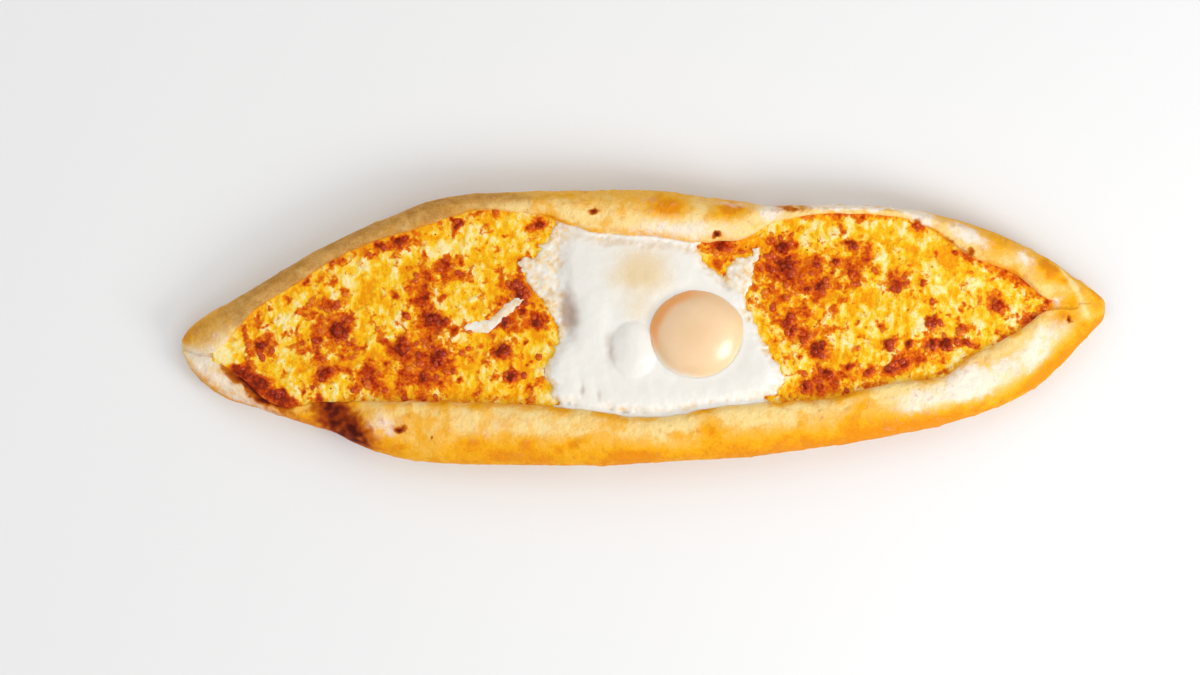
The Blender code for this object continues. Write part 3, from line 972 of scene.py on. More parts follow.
@dataclass(frozen=True)
class DoughBoat:
    """The dough: a bed with two rolled edges that meet in a crease at each tip.

    outer_toast and toast_swing are given for the near edge, then for the far one.
    """

    far: RolledEdge = RolledEdge(
        side=Side.FAR,
        outer=Curve((
            (-185, 2.6), (-183, 5.2), (-177, 9.9), (-153, 22.6), (-128, 36), (-104, 46.1), (-79, 53.9),
            (-63, 55.5), (-31, 55), (1, 54), (33, 49), (57, 45.4), (81, 44.6), (112, 40.8), (136, 33.3),
            (160, 21.1), (175, 10.4), (181.5, 5.3), (184.2, 2.9), (185, 1.4),
        )),
        inner=Curve((
            (-185, -1.2), (-173, -4.2), (-162, 5), (-155, 12.3), (-137, 22.7), (-115, 34.6), (-92, 41.6),
            (-60, 48.4), (-39, 45.3), (-20, 38.3), (-8, 36.4), (8, 34.5), (24, 31.8), (40, 32.3),
            (54, 38.6), (72, 41.1), (104, 38.6), (116, 33), (132, 21.5), (149, 13.6), (162, 3.2), (185, 0),
        )),
        crest=Curve((
            (-185, 6.5), (-180, 12), (-150, 16.5), (-95, 19), (-55, 19.5), (-15, 22), (25, 22.5),
            (45, 20.5), (56, 16.2), (68, 17.4), (100, 17.8), (118, 19.5), (150, 18.5), (172, 15.5),
            (181, 12.5), (185, 7.5),
        )),
        lip=Curve((
            (-185, 5.4), (-180, 10.4), (-173, 12.9), (-140, 14.6), (-60, 15), (30, 15.8), (62, 16),
            (104, 16.6), (125, 14.8), (158, 12.8), (167, 14.2), (176, 14.2), (181, 12), (185, 6.9),
        )),
        pleats=((-166, 0.5, 0.8, 3.5), (51, 0.35, 1.5, 4.5), (172, -0.8, 0.9, 3.5)),
    )
    near: RolledEdge = RolledEdge(
        side=Side.NEAR,
        outer=Curve((
            (-185, -3.5), (-182, -10.1), (-170, -21.5), (-155, -26.9), (-131, -36), (-108, -46.4),
            (-92, -50.5), (-52, -53.9), (-4, -55.3), (44, -54), (93, -49.2), (125, -43.4), (149, -35.3),
            (166, -24), (173.5, -16.4), (180.8, -9.4), (183.4, -7.2), (184.6, -5.2), (185, -3.2),
        )),
        inner=Curve((
            (-185, -1.9), (-173, -5.9), (-162, -13.4), (-150, -24.4), (-142, -27), (-131, -25.2),
            (-91, -26.5), (-59, -28.7), (-31, -31.9), (5, -37.1), (29, -33.7), (69, -32.6), (93, -28.1),
            (118, -25.9), (127, -19.5), (148, -9.6), (162, -1.2), (185, -0.6),
        )),
        crest=Curve((
            (-185, 5.5), (-179, 10), (-160, 13.5), (-143, 14.6), (-130, 16.2), (-121, 17.2), (-105, 20.5),
            (-50, 22.5), (0, 23.5), (50, 22.5), (100, 20.6), (140, 18.3), (170, 15.5), (181, 12), (185, 7),
        )),
        lip=Curve((
            (-185, 4.9), (-180, 8.8), (-173, 11.9), (-145, 13.5), (-120, 15.2), (-60, 16.6), (0, 17.0),
            (60, 16.8), (120, 16.0), (146, 14.4), (158, 13.2), (167, 14.2), (176, 14.2), (181, 11.8),
            (185, 6.7),
        )),
        pleats=((-126, 0.4, 1.9, 5.5), (-172, 0.6, 0.8, 3.5), (166, -0.7, 0.9, 4)),
    )
    half_length: float = 185.0
    stations: int = 620
    crowding: float = 0.35
    seam_gap: float = 1.2
    side_dryness: float = 0.62
    base_flour: float = 0.55
    seam_drop: float = 0.15
    seam_fill: float = 0.1
    seam_sway: float = 0.5
    seam_wave: float = 3.1
    seam_span: tuple[float, float] = (166.0, 172.0)
    tip_fade: tuple[float, float] = (185.0, 178.0)
    edge_calm: tuple[float, float] = (164.0, 150.0)
    edge_sway: tuple[tuple[float, float], ...] = ((0.6, 7.0), (0.35, 2.6))
    bed_top: float = 5.6
    bed_closes_from: float = 16.0
    bubble_size: float = 5.0
    bubble_height: float = 0.42
    bubble_share: float = 0.42
    lump_size: float = 9.0
    lump_height: float = 0.7
    wrinkle_size: float = 2.3
    wrinkle_height: float = 0.30
    seed: int = 11
    fray_x: Waves = ((1.4, 7.0, 3.2), (0.7, 3.0, 1.4))
    fray_y: Waves = ((1.4, 2.0, 3.2), (0.7, 5.0, 1.4))
    foot_waves: Waves = ((3.4, 9.0, 17.0), (1.6, 6.0, 5.0))
    outer_toast: tuple[float, float] = (0.82, 0.40)
    crest_toast: float = 0.06
    toast_swing: tuple[float, float] = (0.24, 0.10)
    lip_toast_and_shade: float = 0.55
    finish: BakedDough = BakedDough()
    flour: tuple[Spot, ...] = spots(
        (112, 38, 7, 3.5, -20, 0.9), (130, 30.5, 8.5, 3.4, -28, 1.05), (152.4, 20.5, 4.5, 3.2, -35, 0.75),
        (165.2, 2.6, 3.4, 1.7, 20, 0.65), (157, -13, 7, 3.6, 50, 0.8), (127, -28, 11, 6, 20, 1.25),
        (142, -23, 8, 4, 30, 0.6), (154, -19, 8, 5, 38, 0.65), (106, -33, 9, 4, 8, 0.6),
        (166, -8, 6, 4, 45, 0.5), (111, -35.5, 13, 3.6, 12, 0.5), (136, -29.5, 12, 3.6, 25, 0.5),
        (157, -18.5, 8, 3.6, 48, 0.45), (52.5, 43.5, 5, 4.5, 0, 0.9), (-107, -35, 9, 5, -10, 0.6),
        (-164, -19, 23, 5.6, -36, 0.7), (-179, -5.5, 7, 4.5, -45, 0.75), (-168, -1, 8, 4.5, 20, 0.55),
        (16, 37.5, 24, 4, -4, 0.7), (37, 48, 12, 3, 0, 0.35), (80, -38, 22, 5, 4, 0.12),
        (86, 43.4, 26, 1.6, -5, 1.1), (-60, -38, 20, 5, 0, 0.3), (0, 50, 60, 4, 0, 0.12),
    )  # fmt: skip
    # Drier tan dough, and painted shade on the far left roll, which faces away from the light.
    drying_and_shade: tuple[Spot, ...] = spots(
        (-150, 19, 28, 10, 27, 1.0), (-120, 36, 30, 11, 24, 1.0), (-85, 50, 28, 10, 12, 0.9),
        (-55, 53, 18, 5, 0, 0.6), (-165, -17, 22, 8, -34, 0.4), (-178, 4, 8, 8, 0, 0.4),
        (-30, 50, 16, 4, 0, 0.3),
    )  # fmt: skip
    toasting: tuple[Spot, ...] = spots(
        (11.5, 46, 6.2, 3.6, 0, 1.2), (36, 44, 4.8, 2.8, 0, 1.0), (24, 45, 6, 7, 0, -0.3),
        (47, 42, 5, 6, 0, -0.2), (111, -35.5, 14, 3.8, 12, -0.36), (136, -29.5, 12, 3.8, 25, -0.4),
        (157, -18.5, 8, 3.6, 48, -0.36), (-184, 4, 7, 6, 30, 0.5), (168, -3, 8, 6, 0, 0.4),
        # At the right tip the two pale lines (169.5, 11.5) and (174.4, 2.2) are painted highlights along fold
        # ridges, and the small toasted spots beside them are toasting with painted shade in the fold valleys.
        (174, 0, 16, 12, 0, 0.22), (169.5, 11.5, 6.5, 1.3, -54, -0.9), (174.4, 2.2, 6.5, 1.3, -69, -0.9),
        (160.6, 17.2, 2.8, 2.2, 0, 0.7), (168.0, 10.2, 1.8, 1.5, 0, 0.7), (170.9, 0.9, 2.0, 3.4, -15, 0.75),
        (166.8, -4.2, 2.2, 4.0, -35, 0.75), (174.6, -7.2, 2.2, 1.7, 0, 0.6), (181.5, 2.5, 4, 5, 0, 0.4),
        (183, 1, 4, 5, 0, 0.5), (140, 26, 32, 8, -28, 0.2), (-120, -34, 19, 12, -53, 0.55),
        (-30, 41, 12, 2, -25, 0.45), (-2, 37, 10, 1.5, -8, 0.4), (-70.2, -43.8, 5.6, 2.8, 0, 0.5),
        (-56.4, -41.2, 3, 4, 0, 0.45), (-48.2, -44.8, 3.6, 2.8, 0, 0.5), (-30.3, -45.9, 2.6, 2.2, 0, 0.8),
        (-59.2, -49.5, 3, 2.2, 0, 0.5), (-5.7, -52.2, 7, 2.2, 0, 0.6), (10.7, -44.1, 3.4, 2.2, 0, 0.6),
        (25.2, -43.1, 4, 4.6, 0, 0.7), (-80.1, -33.8, 1.6, 6.5, 0, 0.4), (-68.3, -29.1, 3.6, 1.6, 0, 0.5),
        (-46.8, -30.8, 7, 2.2, -4, 0.45), (-20, -42, 5, 5, 0, 0.2), (-152, -20, 20, 6, -38, 0.5),
        (172, 4, 5, 3, 0, 0.35), (166, 2, 4, 3, 0, 0.4), (163, 14, 6, 4, -40, 0.45),
        (141, 25, 5, 4, -30, 0.35), (106, -48, 34, 4, 9, 0.5), (-93, -47, 16, 9, -8, -0.3),
        (-86, -34, 12, 6, -8, 0.24), (84, -40, 24, 6, 5, 0.26), (147, -30, 8, 4, 36, -0.35),
        (90, -50, 45, 5, 7, 0.3), (155, -28, 24, 4, 38, 0.42), (77, -31.5, 12, 1.6, 2, 0.5),
        (58, -45, 4, 2, 0, 0.3), (84, -36, 3, 2, 0, 0.4), (134, -22, 6, 4, 0, 0.35),
        (145, -22, 4, 5, 0, 0.3),
    )  # fmt: skip
    burning: tuple[Spot, ...] = spots(
        (-154.6, -19.6, 12, 2.7, -37, 1.6), (169.6, -5, 0.7, 0.9, 0, 0.8), (-125, -30, 7, 6.5, -60, 0.95),
        (-119, -38, 8, 6, -50, 1.15), (-116, -41, 6, 4, -35, 0.6), (-127, -25, 5, 4, 0, 0.6),
        (-18.2, 46, 1.2, 1.2, 0, 1.0), (30.5, 34.6, 1.3, 1.2, 0, 1.0), (-98.3, -37, 2.0, 1.2, 0, 1.2),
        (-85.6, -40.7, 0.5, 0.6, 0, 0.9), (110, 35, 3, 2, -30, 0.42), (122, 28, 9, 1.2, -32, 0.36),
        (131, 22.4, 2, 1.4, 0, 0.42), (60, 43.6, 7, 1.6, 0, 0.36),
    )  # fmt: skip

    def inner_edges(self, x: Array) -> tuple[Array, Array]:
        """Where the filling's hollow ends on both sides.

        Args:
            x: places along the bread.

        Returns:
            y of its far edge and of its near one. In the tips they close to a crease.
        """
        far, near = self.far.inner(x), self.near.inner(x)
        sway = smoothstep(*self.seam_span, abs(x)) * smoothstep(*self.tip_fade, abs(x))
        sway = sway * self.seam_sway * np.sin(x / self.seam_wave)
        far, near = far + sway, near + sway
        calm = smoothstep(*self.edge_calm, abs(x))
        for height, size in self.edge_sway:
            far = far + height * calm * swell(x, 20.0, 1.0, size)
            near = near + height * calm * swell(x, -20.0, 5.0, size)
        middle, half = (far + near) / 2, np.maximum(far - near, self.seam_gap) / 2
        return middle + half, middle - half

    def places(self, count: int) -> Array:
        """Places along the bread, closer together towards its tips."""
        share = np.linspace(-1, 1, count)
        return self.half_length * blend(share, np.sin(share * math.pi / 2), self.crowding)

    def skin_relief(self) -> tuple[Recipe, Socket]:
        """The rule that raises lumps, small bubbles and wrinkles on the baked skin.

        Returns:
            The tree and its outcome.
        """
        recipe = Recipe("skin_relief")
        bubble_size = recipe.given("Bubble size", self.bubble_size)
        bubble_height = recipe.given("Bubble height", self.bubble_height)
        bubble_share = recipe.given("Bubble share", self.bubble_share)
        lump_size = recipe.given("Lump size", self.lump_size)
        lump_height = recipe.given("Lump height", self.lump_height)
        wrinkle_size = recipe.given("Wrinkle size", self.wrinkle_size)
        wrinkle_height = recipe.given("Wrinkle height", self.wrinkle_height)
        seed = recipe.given("Seed", self.seed)
        shifted = recipe.vector("ADD", recipe.place(), recipe.joined(0.0, seed))
        inputs = {"Vector": shifted, "Scale": recipe.math("DIVIDE", 1.0, bubble_size)}
        cells = recipe.add("ShaderNodeTexVoronoi", inputs)
        pick = recipe.add("ShaderNodeSeparateXYZ", {0: cells.outputs["Color"]})
        dome = recipe.ease(cells.outputs["Distance"], 0.0, 0.5, 1.0, 0.0)
        chosen = recipe.ease(recipe.math("SUBTRACT", pick.outputs[0], bubble_share), -0.2, 0.2, 1.0, 0.0)
        raised = recipe.math("MULTIPLY", recipe.math("MULTIPLY", dome, chosen), recipe.layer("skin"))
        lumps = recipe.math("SUBTRACT", recipe.noise(shifted, lump_size, 1.0), 0.5)
        wrinkles = recipe.math("SUBTRACT", recipe.noise(shifted, wrinkle_size, 2.0, 0.4), 0.5)
        height = recipe.math("MULTIPLY", lumps, lump_height)
        height = recipe.math("MULTIPLY_ADD", wrinkles, wrinkle_height, height)
        height = recipe.math("MULTIPLY", height, recipe.layer("skin"))
        height = recipe.math("MULTIPLY_ADD", raised, bubble_height, height)
        normal = recipe.add("GeometryNodeInputNormal").outputs[0]
        moved = recipe.shift(recipe.source.outputs[0], normal, height)
        return recipe, recipe.keep(moved, "raised", raised)

    def baking(self, place: Array, inwards: Array, hollow: Array, nearer: Array) -> dict[str, Array]:
        """How far the oven has changed each place of the dough, together with painted light and shade in
        places.

        Args:
            place: x, y and z of each place.
            inwards: how far in it is, 0 at the outer edge and 1 at the inner one.
            hollow: width of the filling's hollow there.
            nearer: whether it belongs to the near edge.

        Returns:
            The toasting (with painted light and shade at the right tip's folds and along the inner lip),
            flour, dryness (with painted shade on the far left roll) and burning of each place, by name.
        """
        x, y, z = place
        rise = z / np.where(nearer, self.near.crest(x), self.far.crest(x))
        wall = smoothstep(0.85, 0.5, rise) * smoothstep(0.16, 0.03, inwards)
        loose_x, loose_y = x + swells(x, y, self.fray_x), y + swells(x, y, self.fray_y)
        patchy = 1 + 0.6 * swell(x, y, z, 2.6)
        low = z + swells(x, y, self.foot_waves)
        toast_and_painted_light = blend(np.where(nearer, *self.outer_toast), self.crest_toast, smoothstep(0.08, 0.72, inwards))
        toast_and_painted_light = toast_and_painted_light + np.where(nearer, *self.toast_swing) * swell(x, y, 3.0, 21.0)
        toast_and_painted_light = toast_and_painted_light + 0.9 * layered(x, y, self.toasting) - 0.25 * smoothstep(9, 3, z)
        # A toasted line along the inner lip, partly painted shade where the wall drops steeply to the
        # filling.
        seared_and_shaded = smoothstep(0.87, 0.98, inwards) * (0.3 + 1.1 * swell(x, y, 4.0, 9.0))
        toast_and_painted_light = toast_and_painted_light + self.lip_toast_and_shade * np.clip(seared_and_shaded, 0, 1) * smoothstep(2.0, 9.0, hollow)
        flour = layered(loose_x, loose_y, self.flour) * (1 - 0.85 * wall) * blend(1.0, patchy, 0.5)
        flour = np.maximum(flour, self.base_flour * smoothstep(5.0, 0.5, low))
        # Painted shade and dryness: these patches darken the far left roll, which faces away from the light.
        dry_and_shade = layered(x, y, self.drying_and_shade) * (1 - 0.45 * wall)
        dry_and_shade = np.maximum(dry_and_shade, self.side_dryness * smoothstep(11.0, 4.5, low))
        burn = layered(loose_x, loose_y, self.burning) * (1 - 0.5 * wall) * patchy
        return {"toast_and_painted_light": toast_and_painted_light.ravel(), "flour": flour.ravel(), "dry_and_shade": dry_and_shade.ravel(), "burn": burn.ravel()}

    def build(self) -> bpy.types.Object:
        """Makes the dough and dresses it.

        Returns:
            The finished piece.
        """
        x = self.places(self.stations)[:, None]
        far, near = self.inner_edges(x)
        seam = np.minimum(self.far.lip(x), self.near.lip(x))
        seam = seam + blend(-self.seam_drop, self.seam_fill, smoothstep(0, self.seam_span[0], x))
        bed = blend(seam, self.bed_top, smoothstep(self.seam_gap, self.bed_closes_from, far - near))
        far_y, far_z, far_in = self.far.profile(x, far)
        near_y, near_z, near_in = self.near.profile(x, near)
        y = np.concatenate([far_y, far, near, near_y[:, ::-1]], axis=1)
        z = np.concatenate([far_z, bed, bed, near_z[:, ::-1]], axis=1)
        inwards = np.concatenate([far_in, far * 0 + 1, far * 0 + 1, near_in[:, ::-1]], axis=1)
        x = np.broadcast_to(x, y.shape)
        nearer = y < blend(near, far, 0.5)
        skin = smoothstep(0.4, 3.0, z) * smoothstep(1.0, 0.9, inwards)
        skin = skin * smoothstep(self.half_length, 180, abs(x))
        obj = make_piece(
            "dough",
            np.stack([x, y, z], -1).reshape(-1, 3),
            tube_faces(*y.shape),
            **self.baking(np.stack([x, y, z]), inwards, far - near, nearer),
            skin=skin.ravel(),
        )
        recipe, result = self.skin_relief()
        recipe.run(obj, result, self.finish.material())
        return finished(obj, "crust", "crust")


# The cheese


@dataclass(frozen=True)
class CheeseFilling:
    """The melted cheese that fills the boat, with a lower seat under the egg.

    Each of the bubbles has its x, y and radius. Most pairs are limits of a random draw. strand_turn is
    a middle and a spread, bake_shares are for the left and the right, and light_side is the direction of
    the light: each bubble is painted less burnt on its side towards it and darker on the side away from
    it, as painted light and shade.
    """

    boat: DoughBoat
    seats: tuple[tuple[Array, float], ...]
    start: float = -172.5
    end: float = 163.0
    columns: int = 600
    rows: int = 136
    below_lip: float = 0.45
    climb: float = 0.5
    climb_width: float = 1.4
    crown: float = 0.35
    overlap: float = 1.2
    floor: float = 4.8
    seat_rise: float = 3.0
    curd_width: float = 3.4
    curd_length: float = 5.4
    curd_height: float = 0.75
    ripple_size: float = 13.0
    ripple_height: float = 1.3
    crust_size: float = 1.3
    crust_height: float = 0.30
    strand_height: float = 0.55
    seed: int = 5
    finish: MeltedCheese = MeltedCheese()
    zones: tuple[Spot, ...] = spots(
        (-168, -3.5, 6, 5, -30, -0.9), (-123, 5, 9, 15, 0, 0.5), (-88, -13, 17, 12, 10, 0.68),
        (-87, 11, 7, 14, 0, 0.46), (-50, 6, 13, 8, -15, 0.45), (-49, 17, 7, 8, 0, 0.4),
        (-82, 24, 14, 5, 20, 0.4), (-55, -13, 8, 9, 0, 0.25), (-153, -1, 7, 6, 0, 0.42),
        (-110, -16, 8, 5, 0, 0.42), (-40, 41, 5, 7, 0, 0.5), (-99, 36, 11, 3, 15, 0.4),
        (57, 20, 13, 13, 0, 0.6), (71, 14, 11, 12, 0, 0.4), (62, -6, 12, 12, -40, 0.4),
        (84, 24, 10, 8, 0, 0.35), (76, -25, 22, 4.5, 6, 0.5), (104, -19, 14, 4, 12, 0.4),
        (118, -13, 13, 4, 0, 0.45), (101, 13, 9, 7, 0, 0.35), (32, 30, 9, 6, 0, 0.5),
        (51, 13, 5, 13, 0, 0.45), (84, 40.2, 30, 1.5, -4, 0.8), (-70, 44, 16, 3, 12, 0.25),
        (135, 21, 24, 2.4, -30, 0.45), (-151, -19.5, 16, 3.4, -37, 1.0), (-130, 25, 24, 1.8, 32, 0.2),
    )  # fmt: skip
    scorches: tuple[Spot, ...] = spots(
        (-86.9, 13.8, 1.7, 5.5, 8, 0.9), (-84, 5.6, 3, 3, 0, 1.0), (-96.9, -5.8, 3.4, 3, 0, 1.0),
        (-81.9, -9.3, 3.4, 2.6, 0, 0.9), (-87, -8.6, 6, 1, 0, 0.7), (-130.5, -5.2, 1.7, 5.4, 5, 0.9),
        (-127.3, -13.7, 2.7, 2.3, 0, 0.9), (-122, 3.3, 4, 4, 0, 0.75), (-117.2, 7.9, 2.8, 1.6, 0, 0.75),
        (-124.9, 13.4, 5, 1.6, -15, 0.65), (-88, -17.5, 6, 3, 0, 0.6), (-108, -16.5, 4, 2.4, 15, 0.65),
        (-48.7, 16.6, 3, 3.4, 0, 0.95), (-53.3, 4.3, 6, 1.8, 30, 0.85), (-42, 2.6, 4.6, 2, -25, 0.85),
        (-57, -8.3, 2.6, 2.6, 0, 1.0), (-53.4, -18.5, 2.6, 2, 0, 0.95), (-56.5, 22.5, 1.4, 4, 0, 0.8),
        (-71.6, 43.1, 1.7, 1.7, 0, 0.9), (-95.9, 37.2, 2.6, 1.6, 0, 0.8), (-104, 35.7, 2.2, 1.4, 0, 0.8),
        (-74.5, 23.2, 2.6, 2, 35, 0.7), (-153, -1.5, 2.4, 2.4, 0, 0.75), (-159, 4, 1.2, 4, 12, 0.75),
        (58.3, 20.3, 3.8, 3, 0, 1.1), (56.7, 28.4, 3, 1.8, 0, 0.85), (57.3, -2.5, 2.6, 3, 20, 0.85),
        (69.3, -13, 3.6, 3.2, 0, 1.0), (71.5, 11.4, 3.8, 1.7, 45, 0.8), (69.6, 21, 2.2, 2, 0, 0.8),
        (77.6, 21.5, 2, 1.8, 0, 0.8), (84, 17, 1.6, 3.2, 0, 0.75), (84, 28.4, 2.2, 1.5, 0, 0.75),
        (101.2, 10.8, 2.2, 2.2, 0, 0.85), (105.4, 15.8, 3.4, 1.8, 10, 0.6), (115.3, -3.8, 3.2, 2.4, 0, 0.7),
        (-154, -17, 9, 2.6, -37, 1.0), (-145, -23, 6, 2.2, -37, 1.0), (118.1, -13.1, 5, 2.2, -5, 0.95),
        (128.2, -12.3, 2.8, 1.5, 10, 0.8), (126.4, -6.7, 3.2, 1.3, 20, 0.7), (88.3, -8.6, 1.6, 3, 0, 0.6),
        (98, -13.1, 2.2, 2.2, 0, 0.65), (105, -12.5, 1.8, 1.8, 0, 0.6), (141.6, 1.5, 2, 1.7, 0, 0.75),
        (156.6, -4, 1.5, 1.7, 0, 0.8), (97.7, -22, 3, 1.6, 0, 0.85), (104, -20, 2, 3.4, 0, 0.85),
        (89, -22.7, 2.4, 1.8, 0, 0.8), (71.7, -23.1, 3, 2, 0, 0.85), (63.5, -26.8, 2.6, 1.5, 0, 0.75),
        (69.4, -28.2, 3, 1.2, 0, 0.75), (79.8, -20.7, 2.2, 1.8, 0, 0.7), (118, -24, 4, 1, -5, 0.8),
        (32.7, 29.8, 3, 2.2, 0, 0.85), (30.4, 22.7, 1.6, 2.4, 20, 0.75), (-39.6, 41.8, 1.8, 3.2, 10, 0.85),
        (-79, 29, 5, 1.4, 30, 0.6), (60, 14, 4.4, 2, -35, 0.7), (56, 8, 3.4, 1.7, 20, 0.6),
        (62, 4, 2, 2.6, 0, 0.6), (64, -6, 3, 1.6, -40, 0.7), (110, 35, 2, 2, 0, 0.8),
        (131, 22, 2.4, 1.6, 0, 0.8), (140.8, 19.1, 1.5, 1.5, 0, 0.8), (146.6, 15.7, 1.5, 1.5, 0, 0.8),
        (152, 11.4, 1.8, 1.3, 0, 0.8), (158, 8.4, 1.8, 1.2, 0, 0.7), (-42, -20.5, 2, 2, 0, 0.7),
    )  # fmt: skip
    pale_patches: tuple[Spot, ...] = spots(
        (-167, -3.5, 6, 4.5, -30, 1.2), (-74, 34.8, 7, 3, 0, 1.0), (-137, 12, 6, 4, 20, 0.7),
        (-98, 14, 2, 13, 0, 0.8), (-114, 26, 5, 5, 20, 0.6), (-146, 3, 5, 8, 0, 0.6),
        (-116, -23, 6, 5, -10, 0.7), (-137, -22, 4, 3, 0, 0.6), (-60, -28, 12, 2.5, 0, 0.6),
        (-63, 3, 9, 4.5, 25, 0.8), (82, 38, 13, 3, 0, 0.7), (97, 20, 1.8, 16, 0, 0.8),
        (117, 14, 4, 9, 0, 0.7), (122, 3, 3, 8, 0, 0.6), (109, -6, 3, 3, 0, 1.0), (74, -6, 3, 8, 0, 0.5),
        (138, -4, 5, 3, 20, 0.6), (149, 8, 4, 4, 0, 0.5), (87, -3, 3, 9, 0, 0.4), (135, 27, 7, 3, -30, 0.6),
        (87, -27, 4, 2.5, 0, 0.5),
    )  # fmt: skip
    bubbles: tuple[tuple[float, float, float], ...] = (
        (-127.5, -13.7, 2.9), (-122.2, 3.3, 2.8), (-118.8, 1.6, 1.7), (-96.9, -5.8, 3.6), (-84, 5.6, 3.1),
        (-82.3, -9, 2.7), (-57, -8.3, 2.8), (-53.4, -18.5, 2.4), (-50.4, 17.6, 2.6), (-48.6, 13, 1.8),
        (-71.6, 43.1, 1.6), (-95.9, 37.2, 1.7), (-78.5, 4.6, 1.8), (58.3, 20.3, 3.6), (57, 28.4, 3.0),
        (57.5, -1.2, 2.4), (59.2, -5, 2), (69.3, -13, 3.6), (71.7, -23.1, 2.5), (101.2, 10.8, 2.6),
        (115.3, -3.8, 3.0), (119.6, -12.8, 2.2), (115.2, -12.4, 2), (141.6, 1.5, 2.6), (156.6, -4, 1.5),
        (97.4, -12.2, 2.4), (105, -12.3, 2.1), (63.5, -26.8, 1.9), (69.4, -28.2, 1.7), (84.6, 28.2, 2.0),
        (110, 35, 1.5), (32.7, 29.8, 2.3), (69.6, 21, 1.7), (77.6, 21.5, 1.6), (84, 17.2, 1.7),
        (97.7, -22, 1.9), (103.8, -20.3, 1.7), (88.9, -22.7, 1.6), (-39.4, 41.6, 1.6), (-153, -1.8, 1.6),
        (-88.3, -17, 1.8), (66, 11, 1.6), (71, 12.5, 1.8), (128.2, -12.3, 1.7), (126, -6.6, 1.4),
        (-42.5, 2.4, 1.6), (-55, 3.2, 1.7), (63.6, -9.2, 1.7), (81, -20.6, 1.5), (112, 12, 1.3),
    )  # fmt: skip
    bubble_rise: float = 0.52
    bubble_stretch: tuple[float, float] = (1.0, 1.35)
    bubble_char: tuple[float, float] = (0.42, 0.78)
    bubble_raggedness: float = 0.45
    light_side: tuple[float, float] = (0.84, -0.54)
    fray_x: Waves = ((1.6, 1.0, 3.4), (0.9, 2.0, 1.4))
    fray_y: Waves = ((1.6, 5.0, 3.4), (0.9, 9.0, 1.4))
    zone_share: float = 0.51
    scorch_share: float = 0.69
    bake_shares: tuple[float, float] = (1.09, 0.95)
    stray_scorches: int = 1000
    stray_chance: float = 0.14
    stray_size: tuple[float, float] = (0.5, 1.7)
    stray_width: tuple[float, float] = (0.7, 1.8)
    stray_turn: tuple[float, float] = (-35.0, 35.0)
    stray_strength: tuple[float, float] = (0.35, 0.95)
    strands: int = 430
    strand_half: tuple[float, float] = (1.8, 4.6)
    strand_width: tuple[float, float] = (0.65, 1.25)
    strand_turn: tuple[float, float] = (90.0, 36.0)
    strand_bow: tuple[float, float] = (-0.35, 0.35)
    strand_strength: tuple[float, float] = (0.45, 1.0)

    def edges(self, x: Array) -> tuple[Array, Array]:
        """Far and near limits of the cheese, a little way into the dough."""
        far, near = self.boat.inner_edges(x)
        return far + self.overlap, near - self.overlap

    def open_level(self, x: Array, y: Array) -> Array:
        """Height of the cheese, without its curds and seats.

        Args:
            x: places along the bread.
            y: places across it.

        Returns:
            The height at each place.
        """
        far, near = self.boat.inner_edges(x)
        across = np.clip((y - near) / (far - near), 0, 1)
        level = blend(self.boat.near.lip(x), self.boat.far.lip(x), across) - self.below_lip
        return level + self.crown * 4 * across * (1 - across)

    def bubble_domes(self, x: Array, y: Array) -> tuple[Array, Array]:
        """The large bubbles, whose tops are burnt.

        Args:
            x: places along the bread.
            y: places across it.

        Returns:
            The height that they add at each place, and how far they brown it, with painted shade on each
            bubble's side away from the light.
        """
        height, browning = np.zeros(y.shape), np.zeros(y.shape)
        draw = random.Random(self.seed + 2)
        for px, py, radius in self.bubbles:
            low, high = np.searchsorted(x[:, 0], (px - 3 * radius, px + 3 * radius))
            dx, dy, key = x[low:high] - px, y[low:high] - py, draw.uniform(0, 50)
            turn, stretch = draw.uniform(0, math.pi), draw.uniform(*self.bubble_stretch)
            burnt = draw.uniform(*self.bubble_char)
            along, across = turned(dx, dy, turn)
            reach = np.hypot(along / stretch, across * stretch) / radius
            ragged = swells(x[low:high], y[low:high], ((1.0, key, 1.1 * radius), (1.0, key, 1.3)))
            reach = reach * (1 + self.bubble_raggedness * ragged)
            dome = self.bubble_rise * radius * np.clip(1 - reach**2, 0, 1)
            height[low:high] = np.maximum(height[low:high], dome)
            # Painted light and shade: each bubble is burnt less on the side towards the light and more on the
            # side away from it.
            lit = (self.light_side[0] * dx + self.light_side[1] * dy) / radius
            painted_shade_lean = 1 - 0.3 * np.clip(lit, -0.5, 1)
            char = burnt * painted_shade_lean * smoothstep(1.15, 0.7, reach)
            char = 1 - (1 - char) * (1 - 0.2 * smoothstep(2.4, 0.8, reach))
            browning[low:high] = np.maximum(browning[low:high], char)
        return height, browning

    def heat(self, x: Array, y: Array) -> Array:
        """How far the cheese is browned, from 0 to 1.

        Args:
            x: places along the bread.
            y: places across it.

        Returns:
            The browning at each place.
        """
        ragged_x, ragged_y = x + swells(x, y, self.fray_x), y + swells(x, y, self.fray_y)
        zones = layered(x, y, self.zones)
        draw = random.Random(self.seed)
        strays: list[Spot] = []
        while len(strays) < self.stray_scorches:
            px = draw.uniform(self.start, self.end)
            far, near = self.boat.inner_edges(np.array([px]))
            py = draw.uniform(float(near[0]), float(far[0]))
            chance = self.stray_chance + float(layered(np.array([px]), np.array([py]), self.zones)[0])
            if draw.random() < chance:
                size = draw.uniform(*self.stray_size)
                width, turn = size * draw.uniform(*self.stray_width), draw.uniform(*self.stray_turn)
                strays.append(Spot(px, py, size, width, turn, draw.uniform(*self.stray_strength)))
        patches = layered(ragged_x, ragged_y, (*self.scorches, *strays))
        return 1 - (1 - self.zone_share * zones) * (1 - self.scorch_share * patches)

